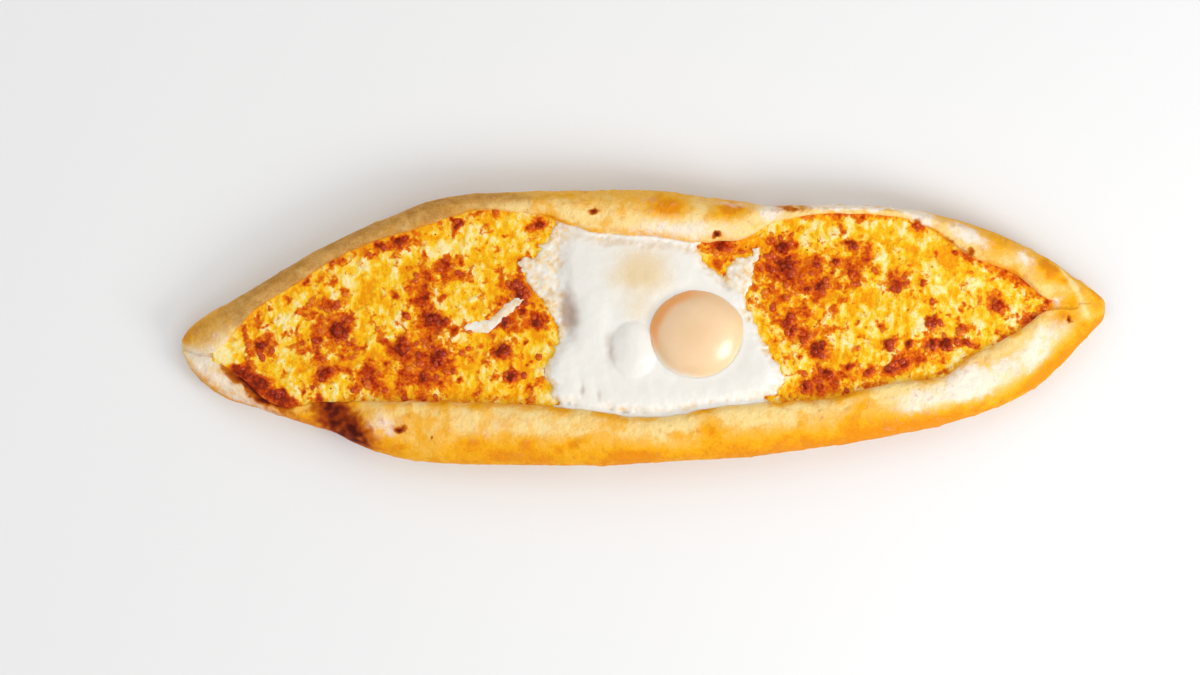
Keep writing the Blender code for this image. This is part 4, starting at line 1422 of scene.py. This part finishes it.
    def strand_ridges(self, x: Array, y: Array) -> Array:
        """Half melted strands, most of them lying across the bread.

        Args:
            x: places along the bread, the same along each row.
            y: places across it.

        Returns:
            How far each place belongs to a strand, from 0 to 1.
        """
        draw = random.Random(self.seed + 1)
        field = np.zeros(y.shape)
        for _ in range(self.strands):
            px = draw.uniform(self.start, self.end)
            far, near = self.edges(np.array([px]))
            py = draw.uniform(float(near[0]), float(far[0]))
            half, width = draw.uniform(*self.strand_half), draw.uniform(*self.strand_width)
            turn, bow = math.radians(draw.gauss(*self.strand_turn)), draw.uniform(*self.strand_bow)
            strength = draw.uniform(*self.strand_strength)
            low, high = np.searchsorted(x[:, 0], (px - 6, px + 6))
            along, across = turned(x[low:high] - px, y[low:high] - py, turn)
            across = across + bow * along**2 / half
            ridge = smoothstep(1.4, 0.3, abs(across) / width) * smoothstep(1.25, 0.6, abs(along) / half)
            field[low:high] = np.maximum(field[low:high], strength * ridge)
        return field

    def relief(self) -> tuple[Recipe, Socket]:
        """The rule that raises curds, ripples and a browned roughness on the cheese.

        Returns:
            The tree and its outcome.
        """
        recipe = Recipe("curd_relief")
        width = recipe.given("Curd width", self.curd_width)
        length = recipe.given("Curd length", self.curd_length)
        curd_height = recipe.given("Curd height", self.curd_height)
        ripple_size = recipe.given("Ripple size", self.ripple_size)
        ripple_height = recipe.given("Ripple height", self.ripple_height)
        crust_size = recipe.given("Crust size", self.crust_size)
        crust_height = recipe.given("Crust height", self.crust_height)
        strand_height = recipe.given("Strand height", self.strand_height)
        seed = recipe.given("Seed", self.seed)
        shifted = recipe.vector("ADD", recipe.place(), recipe.joined(0.0, 0.0, seed))
        inputs = {"Vector": shifted, "Scale": 0.16, "Detail": 2.0}
        drift = recipe.add("ShaderNodeTexNoise", inputs).outputs["Color"]
        drift = recipe.vector("MULTIPLY", recipe.vector("SUBTRACT", drift, (0.5, 0.5, 0.5)), (9.0, 9.0, 0.0))
        flow = recipe.vector("ADD", shifted, drift)
        flow = recipe.vector("DIVIDE", flow, recipe.joined(width, length, width))
        shreds = recipe.noise(flow, 0.8, 2.0, 0.3)
        lump = recipe.stir(recipe.ease(recipe.cells(flow, 1.0), 0.0, 0.95, 0.8, 0.1), shreds, 1.1)
        ripple = recipe.noise(shifted, ripple_size, 1.0)
        crust = recipe.noise(shifted, crust_size, 2.0)
        browned, free, strand = recipe.layer("browned"), recipe.layer("free"), recipe.layer("strand")
        height = recipe.math("MULTIPLY", recipe.math("SUBTRACT", lump, 0.45), curd_height)
        ripples = recipe.math("MULTIPLY", recipe.math("SUBTRACT", ripple, 0.5), ripple_height)
        height = recipe.math("ADD", height, ripples)
        rough = recipe.math("MULTIPLY", recipe.math("SUBTRACT", crust, 0.5), crust_height)
        rough = recipe.math("MULTIPLY", rough, recipe.math("MULTIPLY_ADD", browned, 3.0, 1.0))
        height = recipe.math("MULTIPLY_ADD", strand, strand_height, recipe.math("ADD", height, rough))
        height = recipe.math("MULTIPLY", recipe.math("ADD", height, recipe.layer("bubble")), free)
        moved = recipe.shift(recipe.source.outputs[0], (0.0, 0.0, 1.0), height)
        lumpy = recipe.math("MULTIPLY_ADD", strand, 0.24, recipe.stir(lump, ripple, 0.5))
        return recipe, recipe.keep(moved, "relief", lumpy)

    def build(self) -> bpy.types.Object:
        """Makes the cheese and dresses it.

        Returns:
            The finished piece.
        """
        x = blend(self.start, self.end, np.linspace(0, 1, self.columns))[:, None]
        far, near = self.edges(x)
        y = blend(near, far, np.linspace(0, 1, self.rows))
        x = np.broadcast_to(x, y.shape)
        level = self.open_level(x, y)
        inner_far, inner_near = self.boat.inner_edges(x)
        inland = np.minimum(inner_far - y, y - inner_near)
        free = smoothstep(-0.5, 2.0, inland)
        level = level + self.climb * smoothstep(self.climb_width, 0.0, inland)
        for outline, seat in self.seats:
            inside = edge_distance(x, y, outline)
            level = blend(level, seat, smoothstep(0.4, self.seat_rise, inside))
            free = free * smoothstep(2.0, 0.4, inside)
        count, columns = self.rows, self.columns
        first, last = np.arange(columns) * count, (columns - 1) * count
        top = np.stack([x, y, level], -1).reshape(-1, 3)
        floor = top[np.concatenate([first, first + count - 1])] * (1, 1, 0) + (0, 0, self.floor)
        low = len(top)
        faces: list[Sequence[int]] = list(grid_faces(columns, count, False))
        for i in range(columns - 1):
            a, b, near_low, far_low = i * count, (i + 1) * count, low + i, low + columns + i
            faces.append((a, near_low, near_low + 1, b))
            faces.append((b + count - 1, far_low + 1, far_low, a + count - 1))
            faces.append((near_low, far_low, far_low + 1, near_low + 1))
        faces.append([*range(count), low + columns, low])
        faces.append([*range(last, last + count), low + 2 * columns - 1, low + columns - 1][::-1])
        bubble, char = self.bubble_domes(x, y)
        browned = 1 - (1 - self.heat(x, y)) * (1 - char)
        # Painted shade: a little extra browning along the near rim, where the near roll casts its shadow, so
        # that the shade there looks warm.
        painted_shade_band = smoothstep(4.0, 0.5, y - inner_near)
        browned = browned + 0.14 * painted_shade_band * (1 - browned)
        browned = browned * blend(*self.bake_shares, smoothstep(-30.0, 30.0, x))
        strand = self.strand_ridges(x, y) * smoothstep(0.75, 0.15, browned)
        edging = np.clip(0.55 + 1.2 * swell(x, y, 6.0, 9.0), 0, 1)
        pale = layered(x, y, self.pale_patches) - 0.7 * edging * smoothstep(2.2, 0.0, inland)
        layers = {"browned": browned, "strand": strand, "bubble": bubble, "free": free, "pale": pale}
        padded = {name: np.append(values.ravel(), np.zeros(len(floor))) for name, values in layers.items()}
        obj = make_piece("melted_cheese", np.concatenate([top, floor]), faces, **padded)
        recipe, result = self.relief()
        recipe.run(obj, result, self.finish.material())
        return finished(obj, "cheese", "cheese")


@dataclass(frozen=True)
class Scatter:
    """Small round shapes strewn over the browned cheese by one rule."""

    name: str
    seed: int
    density: float
    apart: float
    radius: float
    spread: tuple[float, float]
    flatness: float
    sunk: float
    tone: float
    browning: tuple[float, float]
    finish: Blister = Blister()

    def build(self, cheese: bpy.types.Object) -> bpy.types.Object:
        """Makes the shapes and dresses them.

        Args:
            cheese: what they are strewn over.

        Returns:
            The finished piece.
        """
        obj = bpy.data.objects.new(self.name, cheese.data.copy())
        bpy.context.scene.collection.objects.link(obj)
        recipe = Recipe(f"{self.name}_scatter")
        density = recipe.given("Pieces per square mm", self.density)
        apart = recipe.given("Apart", self.apart)
        radius = recipe.given("Radius", self.radius)
        flatness = recipe.given("Flatness", self.flatness)
        sunk = recipe.given("Sunk", self.sunk)
        seed = recipe.given("Seed", self.seed)
        normal = recipe.add("GeometryNodeInputNormal").outputs[0]
        up = recipe.add("ShaderNodeSeparateXYZ", {0: normal}).outputs[2]
        level = recipe.add("FunctionNodeCompare", {0: up, 1: 0.5}, operation="GREATER_THAN").outputs[0]
        toasted = recipe.ease(recipe.layer("browned"), *self.browning)
        inputs = {
            "Mesh": recipe.source.outputs[0],
            "Selection": level,
            "Distance Min": recipe.math("MULTIPLY", apart, MM),
            "Density Max": recipe.math("MULTIPLY", density, 1e6),
            "Density Factor": recipe.math("MULTIPLY", toasted, recipe.layer("free")),
            "Seed": seed,
        }
        strewn = recipe.add("GeometryNodeDistributePointsOnFaces", inputs, distribute_method="POISSON")
        size = recipe.math("MULTIPLY", radius, recipe.chance(*self.spread, seed))
        long = recipe.math("MULTIPLY", size, recipe.chance(1.0, 1.5, recipe.math("ADD", seed, 1.0)))
        inputs = {
            "Points": strewn.outputs["Points"],
            "Instance": recipe.add("GeometryNodeMeshIcoSphere", {"Radius": MM, "Subdivisions": 2}).outputs[0],
            "Scale": recipe.joined(long, size, recipe.math("MULTIPLY", size, flatness)),
            "Rotation": recipe.joined(0.0, 0.0, recipe.chance(0.0, 3.14, recipe.math("ADD", seed, 2.0))),
        }
        placed = recipe.add("GeometryNodeInstanceOnPoints", inputs).outputs[0]
        tone = recipe.math("ADD", recipe.chance(0.0, 1.0, recipe.math("ADD", seed, 3.0)), self.tone)
        toned = recipe.keep(placed, "tone", tone, "INSTANCE")
        real = recipe.add("GeometryNodeRealizeInstances", {0: toned}).outputs[0]
        recipe.run(obj, recipe.shift(real, (0.0, 0.0, -1.0), sunk), self.finish.material())
        return finished(obj, "cheese")


CHEESE_BUBBLES = Scatter(
    name="cheese_bubbles",
    seed=3,
    density=0.09,
    apart=1.5,
    radius=0.9,
    spread=(0.6, 1.6),
    flatness=0.7,
    sunk=0.26,
    tone=-0.6,
    browning=(0.2, 0.6),
)
TOASTED_CRUMBS = Scatter(
    name="toasted_crumbs",
    seed=8,
    density=0.004,
    apart=2.2,
    radius=0.26,
    spread=(0.7, 1.5),
    flatness=0.9,
    sunk=0.08,
    tone=3.0,
    browning=(-0.4, 0.9),
)


class Ground:
    """The upper side of a piece, to set things on."""

    def __init__(self, obj: bpy.types.Object) -> None:
        """Looks at a piece from above.

        Args:
            obj: the piece.
        """
        points = [vertex.co.copy() for vertex in obj.data.vertices]
        self.tree = BVHTree.FromPolygons(points, [tuple(face.vertices) for face in obj.data.polygons])

    def height(self, x: float, y: float) -> float:
        """Height of the piece's upper side.

        Args:
            x: place along the bread, in millimetres like the result.
            y: place across it.

        Returns:
            The height there.
        """
        hit = self.tree.ray_cast(Vector((x * MM, y * MM, 1.0)), Vector((0, 0, -1)))[0]
        return hit.z / MM


# The egg


@dataclass(frozen=True)
class Yolk:
    """The yolk, a flattened dome with a film of white over its lower left."""

    x: float = 20.6
    y: float = -4.7
    radius: float = 20.0
    long: float = 1.03
    short: float = 0.97
    floor: float = 14.9
    top: float = 26.4
    fullness: float = 0.6
    sides: int = 144
    rings: int = 56
    waver: tuple[tuple[float, int, float], ...] = ((0.012, 3, 0.6), (0.008, 5, 0.0))
    finish: YolkSkin = YolkSkin()

    def reach(self, x: Array, y: Array) -> Array:
        """Distance from the yolk's middle, 1 at its rim."""
        return np.hypot((x - self.x) / self.long, (y - self.y) / self.short) / self.radius

    def build(self) -> bpy.types.Object:
        """Makes the yolk and dresses it.

        Returns:
            The finished piece.
        """
        turn = np.linspace(0, math.pi / 2, self.rings, endpoint=False)[:, None]
        around = np.linspace(0, 2 * math.pi, self.sides, endpoint=False)
        waver = sum(height * np.sin(count * around + start) for height, count, start in self.waver)
        out = self.radius * np.cos(turn) * (1 + waver)
        x, y = self.x + self.long * out * np.cos(around), self.y + self.short * out * np.sin(around)
        lift = np.sin(turn) ** (2 * self.fullness)
        z = blend(self.floor, self.top, lift) + 0.2 * swell(x, y, 3.0, 9.0) * lift * np.cos(turn)
        points = np.stack([x, y, np.broadcast_to(z, x.shape)], -1).reshape(-1, 3)
        points = np.concatenate([points, [(self.x, self.y, self.top)]])
        last, top = (self.rings - 1) * self.sides, self.rings * self.sides
        faces: list[Sequence[int]] = [face[::-1] for face in grid_faces(self.rings, self.sides, True)]
        faces += [(last + i, last + (i + 1) % self.sides, top) for i in range(self.sides)]
        faces.append(tuple(range(self.sides))[::-1])
        x, y = points[:, 0], points[:, 1]
        obj = make_piece(
            "yolk",
            points,
            faces,
            # Crescents for the material: yolk without film plus painted shade away from the light, a film of
            # white, and painted light on the lit side.
            bare=1.3 * self.crescent(x, y, 142, 0.95, 0.42),
            film=1.15 * self.crescent(x, y, 232, 1.0, 0.34) + 0.45 * self.crescent(x, y, -35, 1.0, 0.12),
            bright=self.crescent(x, y, -20, 0.75, 0.5),
        )
        obj.data.materials.append(self.finish.material())
        return finished(obj, "egg_yolk", "egg_yolk")

    def crescent(self, x: Array, y: Array, towards: float, reach: float, width: float) -> Array:
        """A crescent along the rim.

        Args:
            x: places along the bread.
            y: places across it.
            towards: direction of its middle, in degrees.
            reach: how far out it lies, 1 at the rim.
            width: its width, in the same unit.

        Returns:
            The crescent's strength at each place.
        """
        angle = np.arctan2(y - self.y, x - self.x) - math.radians(towards)
        side = np.clip(np.cos(angle), 0, 1)
        return side**1.3 * smoothstep(reach - width, reach, self.reach(x, y))


@dataclass(frozen=True)
class EggWhite:
    """The baked white: a thin ragged layer, a thick part with a cliff on its left, and a dome."""

    boat: DoughBoat
    yolk: Yolk = Yolk()
    x_span: tuple[float, float] = (-52.0, 60.0)
    y_span: tuple[float, float] = (-40.0, 46.0)
    pitch: float = 0.5
    seat: float = 14.0
    clear: float = -0.6
    hug: float = 2.6
    climb: float = 0.3
    climb_width: float = 1.6
    step: float = 1.2
    floor: float = 12.0
    film: float = 0.45
    depth: float = 1.0
    shoulder: float = 2.6
    thick: float = 2.0
    cup: float = 0.6
    foot_drop: float = 2.2
    foot_reach: float = 1.4
    ragged: Waves = ((1.5, 2.0, 5.0), (1.5, 5.0, 2.1), (0.8, 8.0, 1.1))
    cliff_waves: Waves = ((0.7, 4.0, 5.0),)
    thin_lumps: Waves = ((0.45, 12.0, 1.9),)
    lumps: Waves = ((0.22, 6.0, 4.0), (0.06, 9.0, 1.6))
    finish: BakedWhite = BakedWhite()
    outline: Knots = (
        (-33, 40.6), (-26, 40.9), (-17, 36.3), (-8, 35.4), (4, 34.5), (15, 32.2), (22.5, 30.6), (24, 25.5),
        (31, 18.8), (34.2, 18.2), (36.5, 23.8), (42.5, 25.4), (45.3, 28.2), (48.3, 26.2), (44.6, 20.6),
        (44.2, 14.1), (41, 10), (42.8, 1), (46.8, -9.5), (53.8, -19), (54, -26.5), (47.5, -31), (34, -32.4),
        (20, -34), (5, -35.8), (-10, -34.2), (-27, -31), (-36, -28.8), (-37, -22.4), (-40, -16.5),
        (-35.5, -8.5), (-34.5, 2), (-40.5, 11.5), (-44, 17), (-47.5, 26), (-40.5, 31.4),
    )  # fmt: skip
    plateau: Knots = (
        (-26, 36), (-30.5, 27), (-30, 16), (-28.5, 6), (-29.5, -2.9), (-34, -8.9), (-38, -17), (-34, -28),
        (-14.8, -33.4), (1.1, -34.9), (21.2, -34.2), (39.4, -31), (50.4, -25), (51.6, -17), (45.2, -6),
        (40.9, 4.2), (35.2, 11.7), (28.2, 17.6), (23.7, 24.2), (19.9, 29.4), (4.1, 33.4), (-11.9, 34.6),
    )  # fmt: skip
    forms: tuple[Spot, ...] = spots(
        (-2, 20, 17, 12, 0, 1.5), (-14, 28, 10, 6, 0, 0.5), (-30.4, 6.5, 5.2, 9, 6, -2.4),
        (-32.5, 25, 6, 9, 0, -0.8), (6, -29, 22, 5, 0, 0.6), (46, -21, 7, 8, 0, 0.8),
        (-12, -4, 5, 10, 0, -0.8), (34, 15, 5, 2.2, -42, -0.9), (33, 21, 4, 4, 0, -0.3),
        (-26, -22, 2, 5, 10, -0.5), (-19, -27, 2, 4, 15, -0.4), (-18, 12, 6, 14, 0, 0.4),
        (38, 16, 5, 4, 0, 0.3),
    )  # fmt: skip
    dome_middle: tuple[float, float] = (-4.6, -9.8)
    dome_reach: tuple[float, float] = (9.4, 11.4)
    dome_rise: float = 2.7
    tints: tuple[Spot, ...] = spots(
        (-0.5, 21, 14, 10.5, 0, 1.0), (0.5, 21, 7, 5, 0, 0.6), (-2, 6, 9, 7, 0, 0.45),
        (30, 18, 8, 4, -30, 0.2),
    )  # fmt: skip
    # Brown spots, and painted shade: the spots at (-29.8, 6.2) and (-32.4, 24) shade the hollow under the
    # cliff and above it, (-14, -8.5) the dome's left side and (33.3, 14.6) a crease.
    stains: tuple[Spot, ...] = spots(
        (-29.8, 6.2, 4.4, 8.8, 5, 0.92), (-32.4, 24, 5, 9, 0, 0.30), (-25.3, -25, 1.2, 4, 0, 0.55),
        (-18.8, -27.3, 1.3, 3.2, 0, 0.55), (33.3, 14.6, 1.4, 4.2, 35, 0.45), (-36, 14, 3, 2, 0, 0.4),
        (-40, 20, 2, 2, 0, 0.35), (-36.5, -8, 1.6, 5, 0, 0.3), (8, 35, 16, 1, 0, 0.25),
        (-38, -22, 2.4, 3, 0, 0.3), (-14.0, -8.5, 2.6, 9.5, 6, 0.5), (-44, 28, 3, 3, 0, 0.25),
        (-33, 37, 4, 2, 0, 0.2),
    )  # fmt: skip

    def loop(self) -> Array:
        """The white's outline, held back from the dough.

        Returns:
            Its points, one a row.
        """
        points = smooth_loop(self.outline, self.step)
        far, near = self.boat.inner_edges(points[:, 0])
        points[:, 1] = np.clip(points[:, 1], near + self.clear, far - self.clear)
        return points

    def build(self, level: Callable[[Array, Array], Array]) -> bpy.types.Object:
        """Makes the white and dresses it.

        Args:
            level: height of the cheese round it.

        Returns:
            The finished piece.
        """
        places = [np.arange(*span, self.pitch) for span in (self.x_span, self.y_span)]
        x, y = np.meshgrid(*places, indexing="ij")
        far, near = self.boat.inner_edges(x)
        beside = np.minimum(far - y, y - near)
        calm = smoothstep(0, 4, beside)
        inside = edge_distance(x, y, self.loop()) + swells(x, y, self.ragged) * blend(0.25, 1.0, calm)
        inside = inside + self.hug * smoothstep(2.0, 0.0, beside)
        top = level(x, y) + blend(-self.foot_drop, self.film, smoothstep(-1.3, 0.5, inside))
        top = top + self.depth * (1 - np.exp(-np.maximum(inside - 0.4, 0) / self.shoulder))
        top = top + self.climb * smoothstep(self.climb_width, 0.0, beside)
        thick = edge_distance(x, y, smooth_loop(self.plateau, 2.0)) + swells(x, y, self.cliff_waves)
        thick = thick + self.hug * smoothstep(3.6, 0.0, beside)
        thin = smoothstep(3.6, -3.6, thick)
        top = top + self.thick * (1 - thin) + thin * swells(x, y, self.thin_lumps)
        for form in self.forms:
            top = top + form(x, y) * smoothstep(0, 4, inside)
        (mid_x, mid_y), (reach_x, reach_y) = self.dome_middle, self.dome_reach
        bowl = np.clip(1 - ((x - mid_x) / reach_x) ** 2 - ((y - mid_y) / reach_y) ** 2, 0, 1)
        top = top + self.dome_rise * bowl**0.85 + swells(x, y, self.lumps)
        reach = self.yolk.reach(x, y)
        top = top - self.cup * np.exp(-(((reach - 0.96) * self.yolk.radius / 3.2) ** 2))
        top = blend(self.yolk.floor - 0.8, top, smoothstep(0.78, 0.90, reach))
        kept = (inside > -self.foot_reach) & (top > self.floor + 1)
        keep = kept[:-1, :-1] & kept[1:, :-1] & kept[1:, 1:] & kept[:-1, 1:]
        obj = heightfield(
            "baked_white",
            x,
            y,
            keep,
            top,
            self.floor,
            tint=layered(x, y, self.tints),
            stain=layered(x + 0.8 * swell(x, y, 3.0, 3.0), y, self.stains),
            edge=np.maximum(smoothstep(4.5, 0.0, inside) * blend(0.55, 1.0, calm), thin),
        )
        obj.data.materials.append(self.finish.material())
        return finished(obj, "egg_white", "egg_white")


@dataclass(frozen=True)
class StrayStrip:
    """A small strip of white that lies on the cheese, left of the egg."""

    knots: tuple[tuple[float, float, float], ...] = (
        (-71.6, 2.2, 0.6), (-70, 2.0, 2.2), (-66.5, 1.8, 3.3), (-63, 2.4, 3.4), (-60, 3.6, 2.8),
        (-57.5, 5.5, 2.5), (-54.6, 8, 2.5), (-51.8, 10.4, 2.2), (-49.2, 11.8, 1.4), (-47.4, 12.4, 0.4),
    )  # fmt: skip
    stations: int = 90
    sides: int = 40
    thickness: float = 1.5
    sunk: float = 0.5
    seat: float = 15.0
    stain: float = 0.16
    toasting: float = 0.95
    ragged: Waves = ((0.4, 2.0, 2.5), (0.3, 7.0, 1.2))
    finish: BakedWhite = BakedWhite()

    def outline(self) -> Array:
        """The strip's outline, for the cheese to make room.

        Returns:
            Its points, one a row.
        """
        x, y, half = np.array(self.knots).T
        slope = np.gradient(y, x)
        across = np.stack([-slope, np.ones_like(x)], -1) / np.hypot(1, slope)[:, None]
        middle, reach = np.stack([x, y], -1), across * half[:, None]
        return np.concatenate([middle - reach, (middle + reach)[::-1]])

    def build(self, ground: Ground) -> bpy.types.Object:
        """Makes the strip and dresses it.

        Args:
            ground: what it lies on.

        Returns:
            The finished piece.
        """
        kx, ky, kh = np.array(self.knots).T
        x = blend(kx[0], kx[-1], (1 - np.cos(np.linspace(0, math.pi, self.stations))) / 2)
        y, half = Curve(tuple(zip(kx, ky)))(x), Curve(tuple(zip(kx, kh)))(x)
        slope = np.gradient(y, x)
        around = np.linspace(0, 2 * math.pi, self.sides, endpoint=False)
        side, up = np.cos(around), np.sin(around)
        half = half[:, None] * (1 + swells(x[:, None], y[:, None] + 6 * side, self.ragged))
        out_x, out_y = -(slope / np.hypot(1, slope))[:, None], (1 / np.hypot(1, slope))[:, None]
        px, py = x[:, None] + out_x * half * side, y[:, None] + out_y * half * side
        under = np.array([ground.height(a, b) for a, b in zip(x, y)])
        under = np.convolve(np.pad(under, 6, "edge"), np.full(13, 1 / 13), "valid")[:, None]
        lump = self.thickness * np.minimum(half / 1.6, 1) * (1 + 0.25 * swell(px, py, 5.0, 2.2))
        pz = under - self.sunk + lump * np.where(up > 0, up, 0.35 * up)
        flat = np.zeros(px.size)
        obj = make_piece(
            "white_strip",
            np.stack([px, py, pz], -1).reshape(-1, 3),
            tube_faces(self.stations, self.sides),
            tint=flat,
            stain=flat + self.stain,
            edge=flat + self.toasting,
        )
        obj.data.materials.append(self.finish.material())
        return finished(obj, "egg_white_strip", "egg_white_strip")


# Putting it together


def finished(obj: bpy.types.Object, material_slot: str, *nodes: str) -> bpy.types.Object:
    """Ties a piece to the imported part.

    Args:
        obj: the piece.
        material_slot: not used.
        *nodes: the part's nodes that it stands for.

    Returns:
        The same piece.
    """
    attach(obj, BODY)
    if nodes:
        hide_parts(*nodes)
    triangles = sum(len(face.vertices) - 2 for face in obj.data.polygons)
    log.info("%s: %d triangles", obj.name, triangles)
    return obj


@dataclass(frozen=True)
class Studio:
    """A pale floor, soft light and a camera straight above."""

    aim: tuple[float, float, float] = (-17.6, -4.24, 9.0)
    turn: float = -2.476
    frame_width: float = 480.0
    camera_height: float = 1500.0
    sensor: float = 36.0
    floor_size: float = 8.0
    floor_albedo: float = 0.86
    floor_roughness: float = 0.9
    floor_specular: float = 0.1
    sky: float = 0.30
    key_power: float = 4.2
    key_distance: float = 0.95
    key_size: float = 0.42
    key_azimuth: float = -33.0
    key_elevation: float = 30.0
    ring_power: float = 3.9
    ring_distance: float = 1.6
    ring_size: float = 1.5
    ring_azimuths: tuple[float, ...] = (-3.0, 57.0, 117.0, 177.0, 237.0, 297.0)
    ring_elevation: float = 45.0

    def camera(self) -> None:
        """Looks straight down at the bread, turned as the bread lies on its board."""
        data = bpy.data.cameras.new("camera")
        data.sensor_width = self.sensor
        data.lens = self.sensor * self.camera_height / self.frame_width
        obj = bpy.data.objects.new("camera", data)
        bpy.context.scene.collection.objects.link(obj)
        obj.location = (Vector(self.aim) + Vector((0, 0, self.camera_height))) * MM
        obj.rotation_euler = (0, 0, math.radians(self.turn))
        bpy.context.scene.camera = obj

    def floor(self) -> None:
        """Lays the floor at the bread's underside."""
        half = self.floor_size / 2 / MM
        corners = np.array([(-half, -half, 0), (half, -half, 0), (half, half, 0), (-half, half, 0)])
        obj = make_piece("floor", corners, [(0, 1, 2, 3)])
        material = bpy.data.materials.new("floor")
        material.use_nodes = True
        shader = material.node_tree.nodes["Principled BSDF"]
        shader.inputs["Base Color"].default_value = (self.floor_albedo,) * 3 + (1.0,)
        shader.inputs["Roughness"].default_value = self.floor_roughness
        shader.inputs["Specular IOR Level"].default_value = self.floor_specular
        obj.data.materials.append(material)

    def lamp(
        self, name: str, size: float, power: float, distance: float, azimuth: float, elevation: float
    ) -> None:
        """Adds a round soft light that shines at the middle of the bread.

        Args:
            name: what it is called.
            size: its width in metres.
            power: its power in watts.
            distance: how far away it is, in metres.
            azimuth: where it stands, in degrees round from the bread's right tip.
            elevation: how high it stands, in degrees above the floor.
        """
        data = bpy.data.lights.new(name, "AREA")
        data.shape = "DISK"
        data.size = size
        data.energy = power
        obj = bpy.data.objects.new(name, data)
        bpy.context.scene.collection.objects.link(obj)
        turn, rise = math.radians(azimuth), math.radians(elevation)
        away = Vector((math.cos(turn) * math.cos(rise), math.sin(turn) * math.cos(rise), math.sin(rise)))
        obj.location = away * distance
        obj.rotation_euler = away.to_track_quat("Z", "Y").to_euler()

    def light(self) -> None:
        """Lights the scene softly all round, and more strongly from the lower right of the picture."""
        world = bpy.data.worlds.new("studio")
        world.use_nodes = True
        background = world.node_tree.nodes["Background"]
        background.inputs["Color"].default_value = (1, 1, 1, 1)
        background.inputs["Strength"].default_value = self.sky
        bpy.context.scene.world = world
        bpy.context.scene.view_settings.view_transform = "Standard"
        key = (self.key_size, self.key_power, self.key_distance)
        self.lamp("key", *key, self.key_azimuth, self.key_elevation)
        fill = (self.ring_size, self.ring_power, self.ring_distance)
        for i, azimuth in enumerate(self.ring_azimuths):
            self.lamp(f"fill_{i + 1}", *fill, azimuth, self.ring_elevation)

    def build(self) -> None:
        """Sets up the whole studio."""
        self.camera()
        self.floor()
        self.light()


def main() -> None:
    """Builds the studio and the bread, piece by piece."""
    logging.basicConfig(level=logging.INFO, format="%(name)s: %(message)s")
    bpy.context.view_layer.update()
    Studio().build()
    boat = DoughBoat()
    boat.build()
    white, strip = EggWhite(boat), StrayStrip()
    filling = CheeseFilling(boat, ((white.loop(), white.seat), (strip.outline(), strip.seat)))
    cheese = filling.build()
    for scatter in (CHEESE_BUBBLES, TOASTED_CRUMBS):
        scatter.build(cheese)
    white.build(filling.open_level)
    white.yolk.build()
    strip.build(Ground(cheese))


if __name__ == "__main__":
    main()
